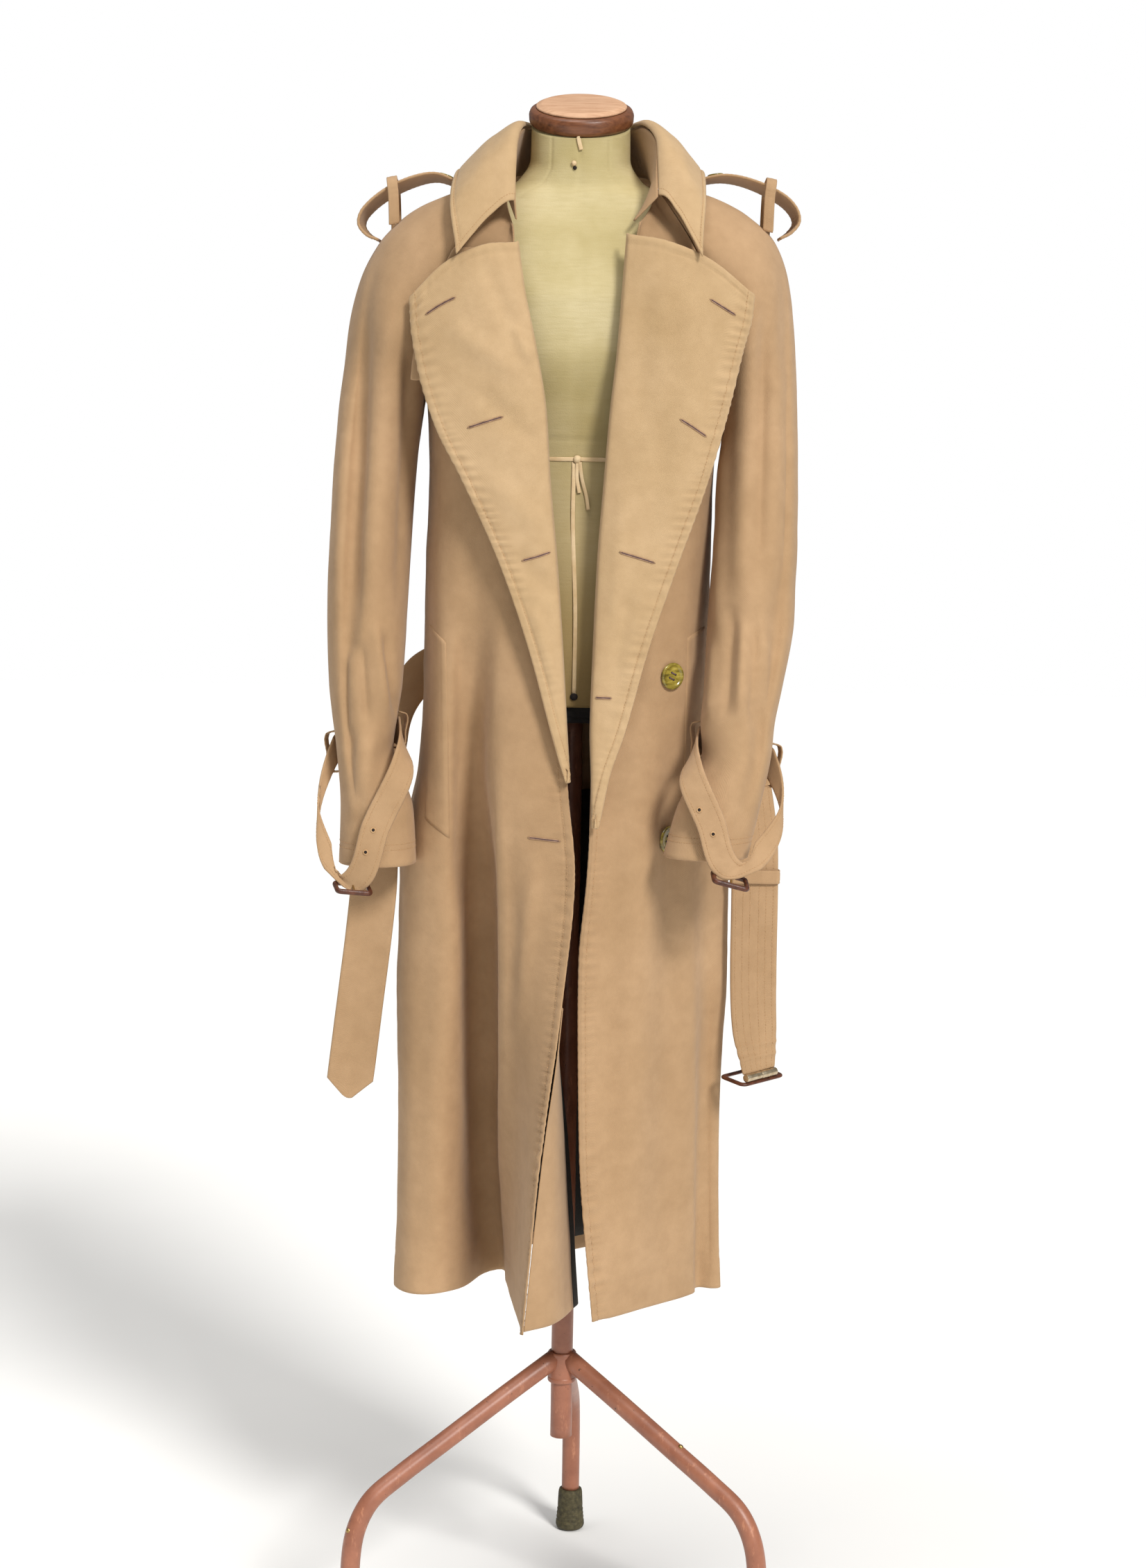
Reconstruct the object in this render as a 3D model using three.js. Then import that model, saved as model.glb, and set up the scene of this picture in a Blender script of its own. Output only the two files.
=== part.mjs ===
// A belted raglan trench coat, worn open on a limbless dress form with a three-legged stand.
// Millimetres, +Z up, the coat's front faces -Y, and the wearer's right side is at -X.
import * as THREE from "three";
import { mergeVertices } from "three/addons/utils/BufferGeometryUtils.js";

// Driving sizes
const CLOTH = 2;               // one layer of coat cloth, as a wall
const STRAP = 3;               // belt and shoulder straps are two layers
const CUFF_STRAP = 2.5;
const TRIM = 1.5;              // belt loops, strap loops and the keeper
const TURNED = 2.5;            // lapels and the collar's fall, which are turned edges
const LINING = 1;
const RAGLAN_GAP = 1.2;        // the sleeve stands this far off the raglan seam
const HEM_Z = 395;
const UNDERARM_Z = 1425;
const NECK_Z = 1645;
const BACK_NECK_Z = 1652;
const FORM_BOTTOM_Z = 1080;
const HUB_Z = 300;
const LEG_RADIUS = 265;
const TUBE = 12.5;             // radius of the stand's tubes
const FOOT_HEIGHT = 50;

const COLOURS = {
  cloth: 0xc09b70, lining: 0x2a2d28, leather: 0x4a2416, horn: 0xa39443, linen: 0xd9c48a,
  ring: 0x7a4a30, wood: 0xddb590, tube: 0xb5683f, rubber: 0x4a4220, metal: 0xb9b4a8, band: 0x1c1a18,
};

// Tables: the first line names the columns, and each row is one section or fold.
function table(columns, rows) {
  const names = columns.split(" ");
  return rows.map((row) => Object.fromEntries(names.map((name, i) => [name, row[i]])));
}

const sub = (a, b) => a.map((value, i) => value - b[i]);
const add = (a, b, k = 1) => a.map((value, i) => value + k * b[i]);
const length = (a) => Math.hypot(...a);
const unit = (a) => a.map((value) => value / (length(a) || 1));
const cross = (a, b) => [a[1] * b[2] - a[2] * b[1], a[2] * b[0] - a[0] * b[2], a[0] * b[1] - a[1] * b[0]];
const mix = (a, b, k) => a.map((value, i) => value + k * (b[i] - value));

function hermite(a, b, slopeA, slopeB, t) {
  const t2 = t * t;
  const t3 = t2 * t;
  return (2 * t3 - 3 * t2 + 1) * a + (t3 - 2 * t2 + t) * slopeA + (3 * t2 - 2 * t3) * b + (t3 - t2) * slopeB;
}

// Reads one column of a table at a place between its rows, smoothly and without overshoot.
function read(rows, column, place, by = "z") {
  const last = rows.length - 1;
  const at = Math.min(Math.max(place, rows[0][by]), rows[last][by]);
  let k = 0;
  while (k < last - 1 && at > rows[k + 1][by]) k += 1;
  const value = (i) => [rows[i][column]].flat();
  const rise = (i, n) => (value(i + 1)[n] - value(i)[n]) / (rows[i + 1][by] - rows[i][by]);
  const slope = (i, n) => {
    if (i === 0) return rise(0, n);
    if (i === last) return rise(last - 1, n);
    const before = rise(i - 1, n);
    const after = rise(i, n);
    return before * after <= 0 ? 0 : (2 * before * after) / (before + after);
  };
  const span = rows[k + 1][by] - rows[k][by];
  const t = (at - rows[k][by]) / span;
  const result = value(k).map((from, n) => hermite(from, value(k + 1)[n], slope(k, n) * span,
    slope(k + 1, n) * span, t));
  return result.length === 1 ? result[0] : result;
}

// The height at a share v of a table's whole height.
function heightIn(rows, v) {
  const low = rows[0].z;
  return low + v * (rows[rows.length - 1].z - low);
}

// A smooth line through points. Each point takes an equal share of u, so folds stay on grid lines.
// before and after only give the direction at the ends.
function along(points, u, before, after) {
  const last = points.length - 1;
  const k = Math.min(Math.floor(u * last), last - 1);
  const t = u * last - k;
  const point = (i) => (i < 0 ? before ?? points[0] : i > last ? after ?? points[last] : points[i]);
  const heading = (i) => unit(sub(point(i + 1), point(i - 1)));
  const span = length(sub(point(k + 1), point(k)));
  const from = heading(k);
  const to = heading(k + 1);
  return point(k).map((value, n) => hermite(value, point(k + 1)[n], from[n] * span, to[n] * span, t));
}

// A wall: the surface at(u, v), and the same surface moved back by its thickness.
const group = new THREE.Group();

function addMesh(name, points, faces, colour, roughness = 0.85, metalness = 0) {
  let geometry = new THREE.BufferGeometry();
  geometry.setAttribute("position", new THREE.Float32BufferAttribute(points.flat(), 3));
  geometry.setIndex(faces.flat());
  geometry = mergeVertices(geometry, 1e-3);
  if (volume(geometry) < 0) geometry.index.array.reverse();
  addGeometry(name, geometry, colour, roughness, metalness);
}

function addGeometry(name, geometry, colour, roughness = 0.6, metalness = 0) {
  const material = new THREE.MeshStandardMaterial({ color: colour, roughness, metalness });
  const mesh = new THREE.Mesh(geometry, material);
  mesh.name = name;
  group.add(mesh);
  return mesh;
}

function volume(geometry) {
  const position = geometry.attributes.position;
  const index = geometry.index.array;
  const corner = (i) => new THREE.Vector3().fromBufferAttribute(position, index[i]);
  let sum = 0;
  for (let i = 0; i < index.length; i += 3) {
    sum += corner(i).dot(corner(i + 1).cross(corner(i + 2))) / 6;
  }
  return sum;
}

function normalAt(at, u, v) {
  const step = 1e-3;
  const inside = (value) => Math.min(Math.max(value, 0), 1);
  const along_u = sub(at(inside(u + step), v), at(inside(u - step), v));
  const along_v = sub(at(u, inside(v + step)), at(u, inside(v - step)));
  return unit(cross(along_u, along_v));
}

// side is 1 or -1: which way the wall's second face lies from at(u, v).
function addWall(name, at, { columns, rows, thickness = CLOTH, side = 1, colour = COLOURS.cloth,
  closed = false, range = [0, 1, 0, 1] }) {
  const [u0, u1, v0, v1] = range;
  const points = [];
  for (const depth of [0, thickness * side]) {
    for (let j = 0; j <= rows; j += 1) {
      for (let i = 0; i <= columns; i += 1) {
        const u = u0 + ((u1 - u0) * (closed && i === columns ? 0 : i)) / columns;
        const v = v0 + ((v1 - v0) * j) / rows;
        points.push(add(at(u, v), normalAt(at, u, v), depth));
      }
    }
  }
  const width = columns + 1;
  const layer = width * (rows + 1);
  const faces = [];
  const quad = (a, b, c, d) => faces.push([a, b, c], [a, c, d]);
  for (let j = 0; j < rows; j += 1) {
    for (let i = 0; i < columns; i += 1) {
      const a = j * width + i;
      quad(a, a + 1, a + width + 1, a + width);
      quad(layer + a, layer + a + width, layer + a + width + 1, layer + a + 1);
    }
    if (!closed) {
      const a = j * width;
      const b = a + columns;
      quad(a, a + width, layer + a + width, layer + a);
      quad(b, layer + b, layer + b + width, b + width);
    }
  }
  for (let i = 0; i < columns; i += 1) {
    const b = rows * width + i;
    quad(i, layer + i, layer + i + 1, i + 1);
    quad(b, b + 1, layer + b + 1, layer + b);
  }
  addMesh(name, points, faces, colour);
}

// A solid through closed rings, with flat ends.
function addLoft(name, ring, { around, rows, colour, roughness }) {
  const points = [];
  const faces = [];
  for (let j = 0; j <= rows; j += 1) {
    for (let i = 0; i < around; i += 1) points.push(ring(i / around, j / rows));
  }
  for (let j = 0; j < rows; j += 1) {
    for (let i = 0; i < around; i += 1) {
      const a = j * around + i;
      const b = j * around + ((i + 1) % around);
      faces.push([a, b, b + around], [a, b + around, a + around]);
    }
  }
  const top = rows * around;
  for (let i = 1; i < around - 1; i += 1) {
    faces.push([0, i + 1, i], [top, top + i, top + i + 1]);
  }
  addMesh(name, points, faces, colour, roughness);
}

// Side seams and raglan seams, as the outer face of the cloth. x is for the wearer's right.
const SIDE_SEAM = {
  right: table("z at", [
    [395, [-184, 38]], [600, [-180, 40]], [800, [-182, 40]], [900, [-182, 42]], [1050, [-164, 36]],
    [1200, [-160, 26]], [1330, [-160, 10]], [1425, [-166, -12]],
  ]),
  left: table("z at", [
    [395, [168, 42]], [600, [166, 42]], [800, [170, 40]], [900, [166, 40]], [1050, [152, 34]],
    [1200, [150, 24]], [1330, [152, 8]], [1425, [160, -12]],
  ]),
};
const RAGLAN = {
  front: table("z at", [
    [1425, [-166, -12]], [1450, [-164, -48]], [1480, [-159, -74]], [1530, [-146, -92]],
    [1580, [-124, -97]], [1622, [-98, -86]], [1645, [-82, -62]],
  ]),
  back: table("z at", [
    [1425, [-166, -12]], [1450, [-164, 30]], [1480, [-158, 60]], [1530, [-140, 88]],
    [1580, [-112, 98]], [1622, [-86, 88]], [1652, [-72, 58]],
  ]),
};
const SIGN = { right: 1, left: -1 };

function seam(which, sideName, z) {
  if (z <= UNDERARM_Z) return read(SIDE_SEAM[sideName], "at", z);
  const [x, y] = read(RAGLAN[which], "at", z);
  const [low] = read(SIDE_SEAM[sideName], "at", UNDERARM_Z);
  const drawn = RAGLAN[which][0].at[0];
  const settle = Math.min((z - UNDERARM_Z) / 60, 1);
  return [SIGN[sideName] * x + (low - SIGN[sideName] * drawn) * (1 - settle), y];
}

// Fronts: points of each level section from the side seam to the front edge, or above the
// lapel's foot to the roll line. drop lowers the front edge's end of the section.
const FRONT = {
  right: table("z drop side cheek slope valley ridge edge", [
    [395, 0, [-197, -4], [-168, -38], [-122, -14], [-78, 64], [-67, 20], [-45, -181]],
    [560, 0, [-193, -4], [-166, -46], [-125, -28], [-86, 30], [-71, -40], [-31, -173]],
    [750, 0, [-195, -4], [-168, -54], [-128, -48], [-92, -8], [-76, -90], [-8, -160]],
    [900, 0, [-193, 0], [-166, -60], [-132, -66], [-98, -34], [-79, -112], [5, -151]],
    [1000, 0, [-174, 2], [-160, -62], [-134, -78], [-104, -54], [-82, -118], [-4, -139]],
    [1060, 0, [-170, 1], [-156, -63], [-133, -82], [-105, -66], [-81, -118], [-8, -134]],
    [1100, 0, [-168, 0], [-154, -64], [-133, -86], [-106, -78], [-80, -118], [-10, -130]],
    [1210, 0, [-166, -6], [-152, -66], [-130, -92], [-104, -102], [-74, -117], [-19, -124]],
    [1330, 0, [-163, -12], [-152, -60], [-134, -88], [-106, -106], [-74, -117], [-29, -121]],
    [1425, 8, [-164, -34], [-154, -62], [-136, -86], [-108, -104], [-78, -114], [-38, -120]],
    [1500, 20, [-150, -84], [-142, -92], [-126, -100], [-106, -106], [-84, -110], [-57, -113]],
    [1580, 28, [-118, -99], [-111, -101], [-102, -103], [-92, -105], [-80, -106], [-68, -106]],
    [1645, 48, [-80, -64], [-79, -68], [-78, -72], [-76, -78], [-74, -86], [-72, -98]],
  ]),
  left: table("z drop side cheek slope valley ridge edge", [
    [395, 0, [183, 10], [172, 2], [156, 6], [150, -18], [96, -74], [34, -131]],
    [600, 0, [178, 6], [170, -8], [154, -16], [145, -48], [88, -98], [16, -135]],
    [800, 0, [183, 4], [172, -14], [154, -30], [137, -66], [80, -112], [12, -141]],
    [900, 0, [180, 4], [168, -20], [150, -42], [132, -72], [82, -114], [20, -144]],
    [945, 0, [171, 5], [161, -23], [147, -47], [129, -77], [83, -116], [22, -141]],
    [1000, 0, [162, 6], [154, -26], [144, -52], [126, -82], [84, -117], [23, -138]],
    [1100, 0, [154, 2], [148, -32], [140, -58], [120, -92], [80, -116], [23, -130]],
    [1210, 0, [153, -8], [148, -40], [138, -68], [118, -98], [80, -114], [26, -124]],
    [1330, 0, [154, -14], [150, -50], [136, -80], [112, -104], [78, -115], [32, -121]],
    [1425, 8, [158, -34], [152, -62], [136, -86], [110, -104], [80, -113], [42, -118]],
    [1500, 20, [150, -84], [142, -92], [126, -100], [106, -106], [80, -109], [47, -111]],
    [1580, 28, [118, -99], [111, -101], [102, -103], [90, -105], [74, -105], [54, -104]],
    [1645, 40, [80, -64], [79, -68], [78, -72], [75, -78], [71, -86], [66, -96]],
  ]),
};
const FRONT_COLUMNS = ["side", "cheek", "slope", "valley", "ridge", "edge"];

// Back: the quarter points and the middle of each level section, with soft hanging waves.
const BACK = table("z quarter middle wave", [
  [395, [118, 148], 166, 14], [600, [114, 140], 160, 11], [800, [110, 132], 152, 8],
  [1000, [104, 122], 140, 5], [1120, [98, 112], 124, 3], [1330, [104, 112], 124, 2],
  [1425, [112, 112], 128, 1], [1530, [92, 118], 130, 0], [1600, [70, 110], 116, 0],
  [1652, [52, 84], 92, 0],
]);
const BACK_WAVES = 2.5;        // hanging waves in each half of the back

function frontAt(sideName) {
  return (u, v) => {
    const z = HEM_Z + v * (NECK_Z - HEM_Z);
    const [x, y] = frontSection(sideName, z, u);
    return [x, y, z - u * read(FRONT[sideName], "drop", z)];
  };
}

function frontSection(sideName, z, u) {
  const middle = FRONT_COLUMNS.map((name) => read(FRONT[sideName], name, z));
  return along([seam("front", sideName, z), ...middle], u, backQuarter(sideName, z));
}

function backQuarter(sideName, z) {
  const [x, y] = read(BACK, "quarter", z);
  return [-SIGN[sideName] * x, y];
}

function backAt(sideName) {
  return (u, v) => {
    const z = HEM_Z + v * (BACK_NECK_Z - HEM_Z);
    const quarter = backQuarter(sideName, z);
    const middle = [0, read(BACK, "middle", z)];
    const after = [-quarter[0], quarter[1]];
    const side = read(FRONT[sideName], "side", z);
    const [x, y] = along([seam("back", sideName, z), quarter, middle], u, side, after);
    const start = Math.min(u / 0.3, 1);
    const fade = start * start * (3 - 2 * start);
    const wave = read(BACK, "wave", z) * fade * Math.cos(2 * Math.PI * BACK_WAVES * u);
    const out = unit([x, y]);
    return [x + out[0] * wave, y + out[1] * wave, z];
  };
}

// Sleeves: above the underarm, from the front raglan seam over the shoulder ridge to the back
// raglan seam. Below it, level sections from the inside of the arm round to the outside.
const CAP = {
  right: table("t z ridge depth lift", [
    [0, 1425, [-260, -16, 1425], 62, 0], [0.2, 1465, [-256, -15, 1480], 48, 8],
    [0.4, 1515, [-243, -12, 1539], 32, 14], [0.6, 1562, [-222, -8, 1582], 20, 17],
    [0.75, 1600, [-186, -3, 1616], 9, 16], [0.88, 1628, [-140, 0, 1636], 4, 12],
    [1, 1645, [-92, 2, 1648], 1, 6],
  ]),
  left: table("t z ridge depth lift", [
    [0, 1425, [244, -16, 1425], 62, 0], [0.2, 1465, [240, -15, 1488], 48, 8],
    [0.4, 1515, [232, -12, 1546], 32, 14], [0.6, 1562, [216, -8, 1590], 20, 17],
    [0.75, 1600, [184, -3, 1619], 9, 16], [0.88, 1628, [140, 0, 1638], 4, 12], [1, 1645, [92, 2, 1648], 1, 6],
  ]),
};
const ARM = {
  right: table("z outer inner y depth", [
    [902, -257, -171, -68, 45], [960, -256, -175, -64, 46], [1030, -262, -198, -56, 44],
    [1065, -267, -194, -52, 48], [1100, -271, -189, -48, 55], [1180, -274, -185, -38, 60],
    [1300, -270, -179, -27, 62], [1385, -264, -173, -19, 62], [1425, -260, -166, -12, 62],
  ]),
  left: table("z outer inner y depth", [
    [925, 194, 102, -140, 42], [975, 206, 116, -130, 42], [1035, 219, 143, -116, 42],
    [1065, 222, 141, -108, 46], [1100, 229, 144, -98, 52], [1180, 243, 148, -72, 58],
    [1300, 246, 157, -42, 61], [1385, 246, 162, -24, 62], [1425, 244, 160, -12, 62],
  ]),
};
const CUFF_Z = { right: 902, left: 925 };
// The long groove and ridge down the front of each sleeve: s runs from the inside to the outside.
const GROOVE = { right: { s: 0.31, width: 0.035, deep: 11 }, left: { s: 0.34, width: 0.04, deep: 12 } };

// s runs from the inner seam (0) over the front to the outside (0.5) and round the back (1).
function sleeveSection(sideName, level) {
  if (level.t === undefined) {
    const arm = (column) => read(ARM[sideName], column, level.z);
    const inner = [arm("inner"), arm("y"), level.z];
    const ridge = [arm("outer"), arm("y"), level.z];
    return { front: inner, back: inner, ridge, depth: arm("depth"), lift: 0 };
  }
  const cap = (column) => read(CAP[sideName], column, level.t, "t");
  const z = cap("z");
  const ridge = cap("ridge");
  const end = (which) => {
    const point = [...seam(which, sideName, z), z];
    return add(point, unit(sub(ridge, point)), RAGLAN_GAP * (1 - (level.t === 0)));
  };
  return { front: end("front"), back: end("back"), ridge, depth: cap("depth"), lift: cap("lift") };
}

const CAP_SHARE = 0.38;        // the part of a sleeve's grid that lies above the underarm
function sleeveAt(sideName) {
  const cuff = CUFF_Z[sideName];
  return (s, v) => {
    const level = v < CAP_SHARE ? { t: 1 - v / CAP_SHARE }
      : { z: UNDERARM_Z - ((v - CAP_SHARE) / (1 - CAP_SHARE)) * (UNDERARM_Z - cuff) };
    const part = sleeveSection(sideName, level);
    const front = s <= 0.5;
    const from = front ? part.front : part.ridge;
    const to = front ? part.ridge : part.back;
    const angle = 2 * Math.PI * (front ? s : s - 0.5);
    const groove = GROOVE[sideName];
    const hang = Math.min(Math.max((v - 0.15) / 0.25, 0), 1) * Math.min((1 - v) / 0.2, 1);
    const dent = groove.deep * hang * Math.exp(-(((s - groove.s) / groove.width) ** 2));
    const depth = (front ? -1 : 1) * part.depth * Math.sin(angle);
    const bulge = part.lift * Math.sin(angle) ** 2;
    const middle = mix(from, to, (1 - Math.cos(angle)) / 2);
    return [middle[0] - SIGN[sideName] * bulge, middle[1] + depth + dent, middle[2] + bulge * 0.6];
  };
}

// Lapels: the front edges turned back over the chest, from the roll line to the outer edge.
const LAPEL_TURN = 7.4;        // the roll starts this far behind its foremost line
const LAPEL = {
  right: table("z roll out outZ bulge arch", [
    [1004, [-2.9, -144.9], [-6, -149], 1003, 0, 0], [1060, [-6.9, -139.9], [-22, -146], 1058, 3, 0],
    [1150, [-12.9, -137], [-47, -143], 1146, 4, 0], [1240, [-20, -133], [-80, -137], 1238, 5, 0],
    [1330, [-29, -130], [-121, -130], 1326, 7, 0], [1400, [-34, -129], [-152, -121], 1386, 8, 2],
    [1470, [-46, -126], [-171, -113], 1446, 10, 6], [1530, [-59, -121], [-179, -109], 1492, 11, 12],
    [1582, [-67, -113], [-181, -107], 1521, 9, 17],
  ]),
  left: table("z roll out outZ bulge arch", [
    [955, [26, -148], [31, -151], 954, 0, 0], [1010, [24, -145], [41, -149], 1008, 3, 0],
    [1060, [22, -141], [57, -146], 1056, 3, 0], [1150, [24, -137], [81, -142], 1146, 4, 0],
    [1240, [27, -133], [111, -136], 1238, 5, 0], [1330, [33, -130], [142, -127], 1328, 7, 0],
    [1400, [38, -128], [162, -120], 1400, 8, 2], [1470, [45, -125], [178, -113], 1470, 10, 4],
    [1530, [49, -121], [187, -109], 1506, 11, 8], [1592, [53, -112], [189, -107], 1529, 9, 14],
  ]),
};

function lapelAt(sideName) {
  const rows = LAPEL[sideName];
  return (u, v) => {
    const z = heightIn(rows, v);
    const [rollX, rollY] = read(rows, "roll", z);
    const [outX, outY] = read(rows, "out", z);
    const outZ = read(rows, "outZ", z);
    const bulge = read(rows, "bulge", z);
    const arch = read(rows, "arch", z);
    const point = (k, forward, up) => [rollX + k * (outX - rollX), rollY + k * (outY - rollY) - forward,
      z + k * (outZ - z) + up];
    const turn = Math.min(0.05, 3 / Math.abs(outX - rollX));
    const start = point(0, -LAPEL_TURN, 0);
    const middle = [point(0.3, bulge, arch * 0.8), point(0.65, bulge * 0.8, arch)];
    return along([start, point(turn, 1, 0), ...middle, point(1, 0, 0)], u);
  };
}

// Collar: stations from the front end of the wearer's right, round the neck, to the left.
// foot is the neck seam, roll the fold at the top, edge the outer edge of the fall.
const COLLAR = table("t foot roll edge out", [
  [0, [-69, -95, 1607], [-71, -102, 1626], [-130, -129, 1567], 5],
  [0.14, [-80, -62, 1642], [-70, -66, 1688], [-138, -92, 1622], 8],
  [0.28, [-78, 0, 1660], [-62, -8, 1714], [-134, -4, 1661], 8],
  [0.4, [-52, 58, 1668], [-42, 50, 1716], [-92, 88, 1656], 7],
  [0.5, [0, 84, 1670], [0, 72, 1716], [0, 124, 1650], 6],
  [0.6, [52, 58, 1668], [42, 50, 1716], [92, 88, 1658], 7],
  [0.72, [78, 0, 1660], [66, -8, 1717], [136, -4, 1664], 8],
  [0.86, [80, -62, 1642], [84, -62, 1692], [134, -92, 1624], 8],
  [1, [60, -93, 1607], [86, -98, 1634], [131, -129, 1568], 5],
]);

function collarPoint(t, column) {
  return read(COLLAR, column, t, "t");
}

function collarStandAt(t, v) {
  const foot = collarPoint(t, "foot");
  const roll = collarPoint(t, "roll");
  return mix(foot, roll, 0.95 * v - 0.014);
}

function collarFallAt(t, v) {
  const roll = collarPoint(t, "roll");
  const edge = collarPoint(t, "edge");
  const away = unit([edge[0] - roll[0], edge[1] - roll[1], 0]);
  const out = collarPoint(t, "out");
  const shoulder = add(mix(roll, edge, 0.3), [away[0] * out, away[1] * out, out * 0.6]);
  const lower = add(mix(roll, edge, 0.7), [away[0] * out * 0.5, away[1] * out * 0.5, out * 0.4]);
  return along([roll, shoulder, lower, edge], v, collarPoint(t, "foot"));
}

// A flat strap: a smooth line with a direction of its width at each point.
function ribbon(rows, { closed = false } = {}) {
  const places = rows.map((row) => row.at);
  const widths = rows.map((row) => row.wide);
  return (u, v) => {
    const list = closed ? [...places, places[0]] : places;
    const turns = closed ? [...widths, widths[0]] : widths;
    const ends = closed ? [places[places.length - 1], places[1]] : [];
    const turnEnds = closed ? [widths[widths.length - 1], widths[1]] : [];
    return add(along(list, u, ...ends), along(turns, u, ...turnEnds), v - 0.5);
  };
}

// The coat body
for (const sideName of ["right", "left"]) {
  const outward = sideName === "right" ? -1 : 1;
  addWall(`front_${sideName}`, frontAt(sideName), { columns: 12, rows: 18, side: outward,
    range: [0.003, 1, 0, 1] });
  addWall(`back_${sideName}`, backAt(sideName), { columns: 10, rows: 16, side: -outward,
    range: [0.002, 0.999, 0, 1] });
  addWall(`sleeve_front_${sideName}`, sleeveAt(sideName), { columns: 8, rows: 18, side: outward,
    range: [0.002, 0.499, 0.02, 1] });
  addWall(`sleeve_back_${sideName}`, sleeveAt(sideName), { columns: 6, rows: 18, side: outward,
    range: [0.501, 0.998, 0.02, 1] });
  addWall(`lapel_${sideName}`, lapelAt(sideName), { columns: 8, rows: 14, thickness: TURNED,
    side: outward });
}
addWall("collar_stand", collarStandAt, { columns: 24, rows: 2 });
addWall("collar_fall", collarFallAt, { columns: 24, rows: 5, thickness: TURNED });

// The gun flap lies between the lapel and the chest on the wearer's right, and its corner shows.
const FLAP = table("z inner outer", [
  [1434, [-104, -109.8], [-179, -100]], [1456, [-100, -109.8], [-177, -99]],
  [1520, [-92, -108.6], [-160, -104]], [1575, [-86, -105], [-134, -105]],
]);
function flapAt(u, v) {
  const z = heightIn(FLAP, v);
  return [...mix(read(FLAP, "inner", z), read(FLAP, "outer", z), u), z];
}
addWall("gun_flap", flapAt, { columns: 4, rows: 4, side: -1 });

// The lower facing shows beside the right front's edge, turns back there, and ends in lining.
const FACING = table("z start crown bend turn end", [
  [398, [-41.5, -178.3], [-10, -150], [12, -92], [16, -66], [-16, -44]],
  [500, [-32.4, -170], [-10, -146], [6, -98], [9, -74], [-22, -50]],
  [600, [-22.4, -164], [-9, -142], [-1, -104], [1, -82], [-30, -60]],
  [700, [-9.4, -157], [-8, -138], [-9, -110], [-14, -92], [-40, -72]],
  [755, [-4.4, -153], [-8, -138], [-15, -116], [-26, -97], [-48, -84]],
]);
function facingAt(u, v) {
  const z = heightIn(FACING, v);
  const points = ["start", "crown", "bend", "turn", "end"].map((name) => read(FACING, name, z));
  return [...along(points, u), z];
}
const FACING_GRID = { columns: 5, rows: 8, side: -1 };
addWall("facing_right", facingAt, { ...FACING_GRID, thickness: TRIM, range: [0, 0.5, 0, 1] });
addWall("lining_right", facingAt, { ...FACING_GRID, thickness: LINING, range: [0.505, 1, 0, 1],
  colour: COLOURS.lining });

// The lining inside the back, seen through the open front.
const LINING_BACK = { low: 412, high: 960, inside: 6.3, clear: 0.12 };
function liningBackAt(u, v) {
  const { low, high, inside, clear } = LINING_BACK;
  const z = low + v * (high - low);
  const height = (z - HEM_Z) / (BACK_NECK_Z - HEM_Z);
  const sideName = u < 0.5 ? "right" : "left";
  const part = clear + (1 - clear) * (1 - Math.abs(2 * u - 1));
  const at = backAt(sideName);
  const [x, y] = at(part, height);
  const inward = unit([x, y - 20]);
  return [x - inward[0] * inside, y - inward[1] * inside, z];
}
addWall("lining_back", liningBackAt, { columns: 20, rows: 5, thickness: LINING,
  colour: COLOURS.lining });

// Pocket welts, buttons and belt loops are placed on a panel by x and height.
function onFront(sideName, x, z, out) {
  const at = frontAt(sideName);
  const v = (z - HEM_Z) / (NECK_Z - HEM_Z);
  let low = 1 / 6;
  let high = 1;
  for (let step = 0; step < 24; step += 1) {
    const middle = (low + high) / 2;
    if (SIGN[sideName] * at(middle, v)[0] < SIGN[sideName] * x) low = middle;
    else high = middle;
  }
  const normal = normalAt(at, low, v);
  const outward = sideName === "right" ? -1 : 1;
  return add(at(low, v), normal, -outward * out);
}

const WELT_OUT = 1.5;
const WELT = {
  right: { outerTop: [-160, 1166], innerTop: [-140, 1149], outerFoot: [-163, 951], innerFoot: [-134, 930] },
  left: { outerTop: [147, 1168], innerTop: [126, 1158], outerFoot: [154, 945], innerFoot: [125, 926] },
};
for (const sideName of ["right", "left"]) {
  const { outerTop, innerTop, outerFoot, innerFoot } = WELT[sideName];
  const weltAt = (u, v) => {
    const [x, z] = mix(mix(outerFoot, innerFoot, u), mix(outerTop, innerTop, u), v);
    return onFront(sideName, x, z, WELT_OUT);
  };
  addWall(`pocket_welt_${sideName}`, weltAt, { columns: 3, rows: 8, side: SIGN[sideName] });
}

// Turned pieces: a closed profile of [radius, height] spun round an axis.
function addTurned(name, profile, place, axis, colour, { sides = 20, roughness = 0.5, metalness = 0 } = {}) {
  const points = profile.map(([radius, height]) => new THREE.Vector2(radius, height));
  let geometry = new THREE.LatheGeometry(points, sides);
  geometry.deleteAttribute("normal");
  geometry.deleteAttribute("uv");
  geometry = mergeVertices(geometry, 1e-3);
  if (volume(geometry) < 0) geometry.index.array.reverse();
  const mesh = addGeometry(name, geometry, colour, roughness, metalness);
  const up = new THREE.Vector3(0, 1, 0);
  mesh.quaternion.setFromUnitVectors(up, new THREE.Vector3(...axis).normalize());
  mesh.position.set(...place);
}

const BUTTON = { radius: 15, thick: 4 };
function buttonProfile(radius, thick) {
  const outline = [[0, 0], [0.8, 0], [1, 0.45], [0.93, 1], [0.7, 0.8], [0, 0.8]];
  return outline.map(([out, up]) => [out * radius, up * thick]);
}
for (const [name, x, z] of [["coat_button_upper", 108, 1117], ["coat_button_lower", 106, 935]]) {
  const place = onFront("left", x, z, 0.4);
  const axis = sub(onFront("left", x, z, 5), place);
  addTurned(name, buttonProfile(BUTTON.radius, BUTTON.thick), place, axis, COLOURS.horn);
}

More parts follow.
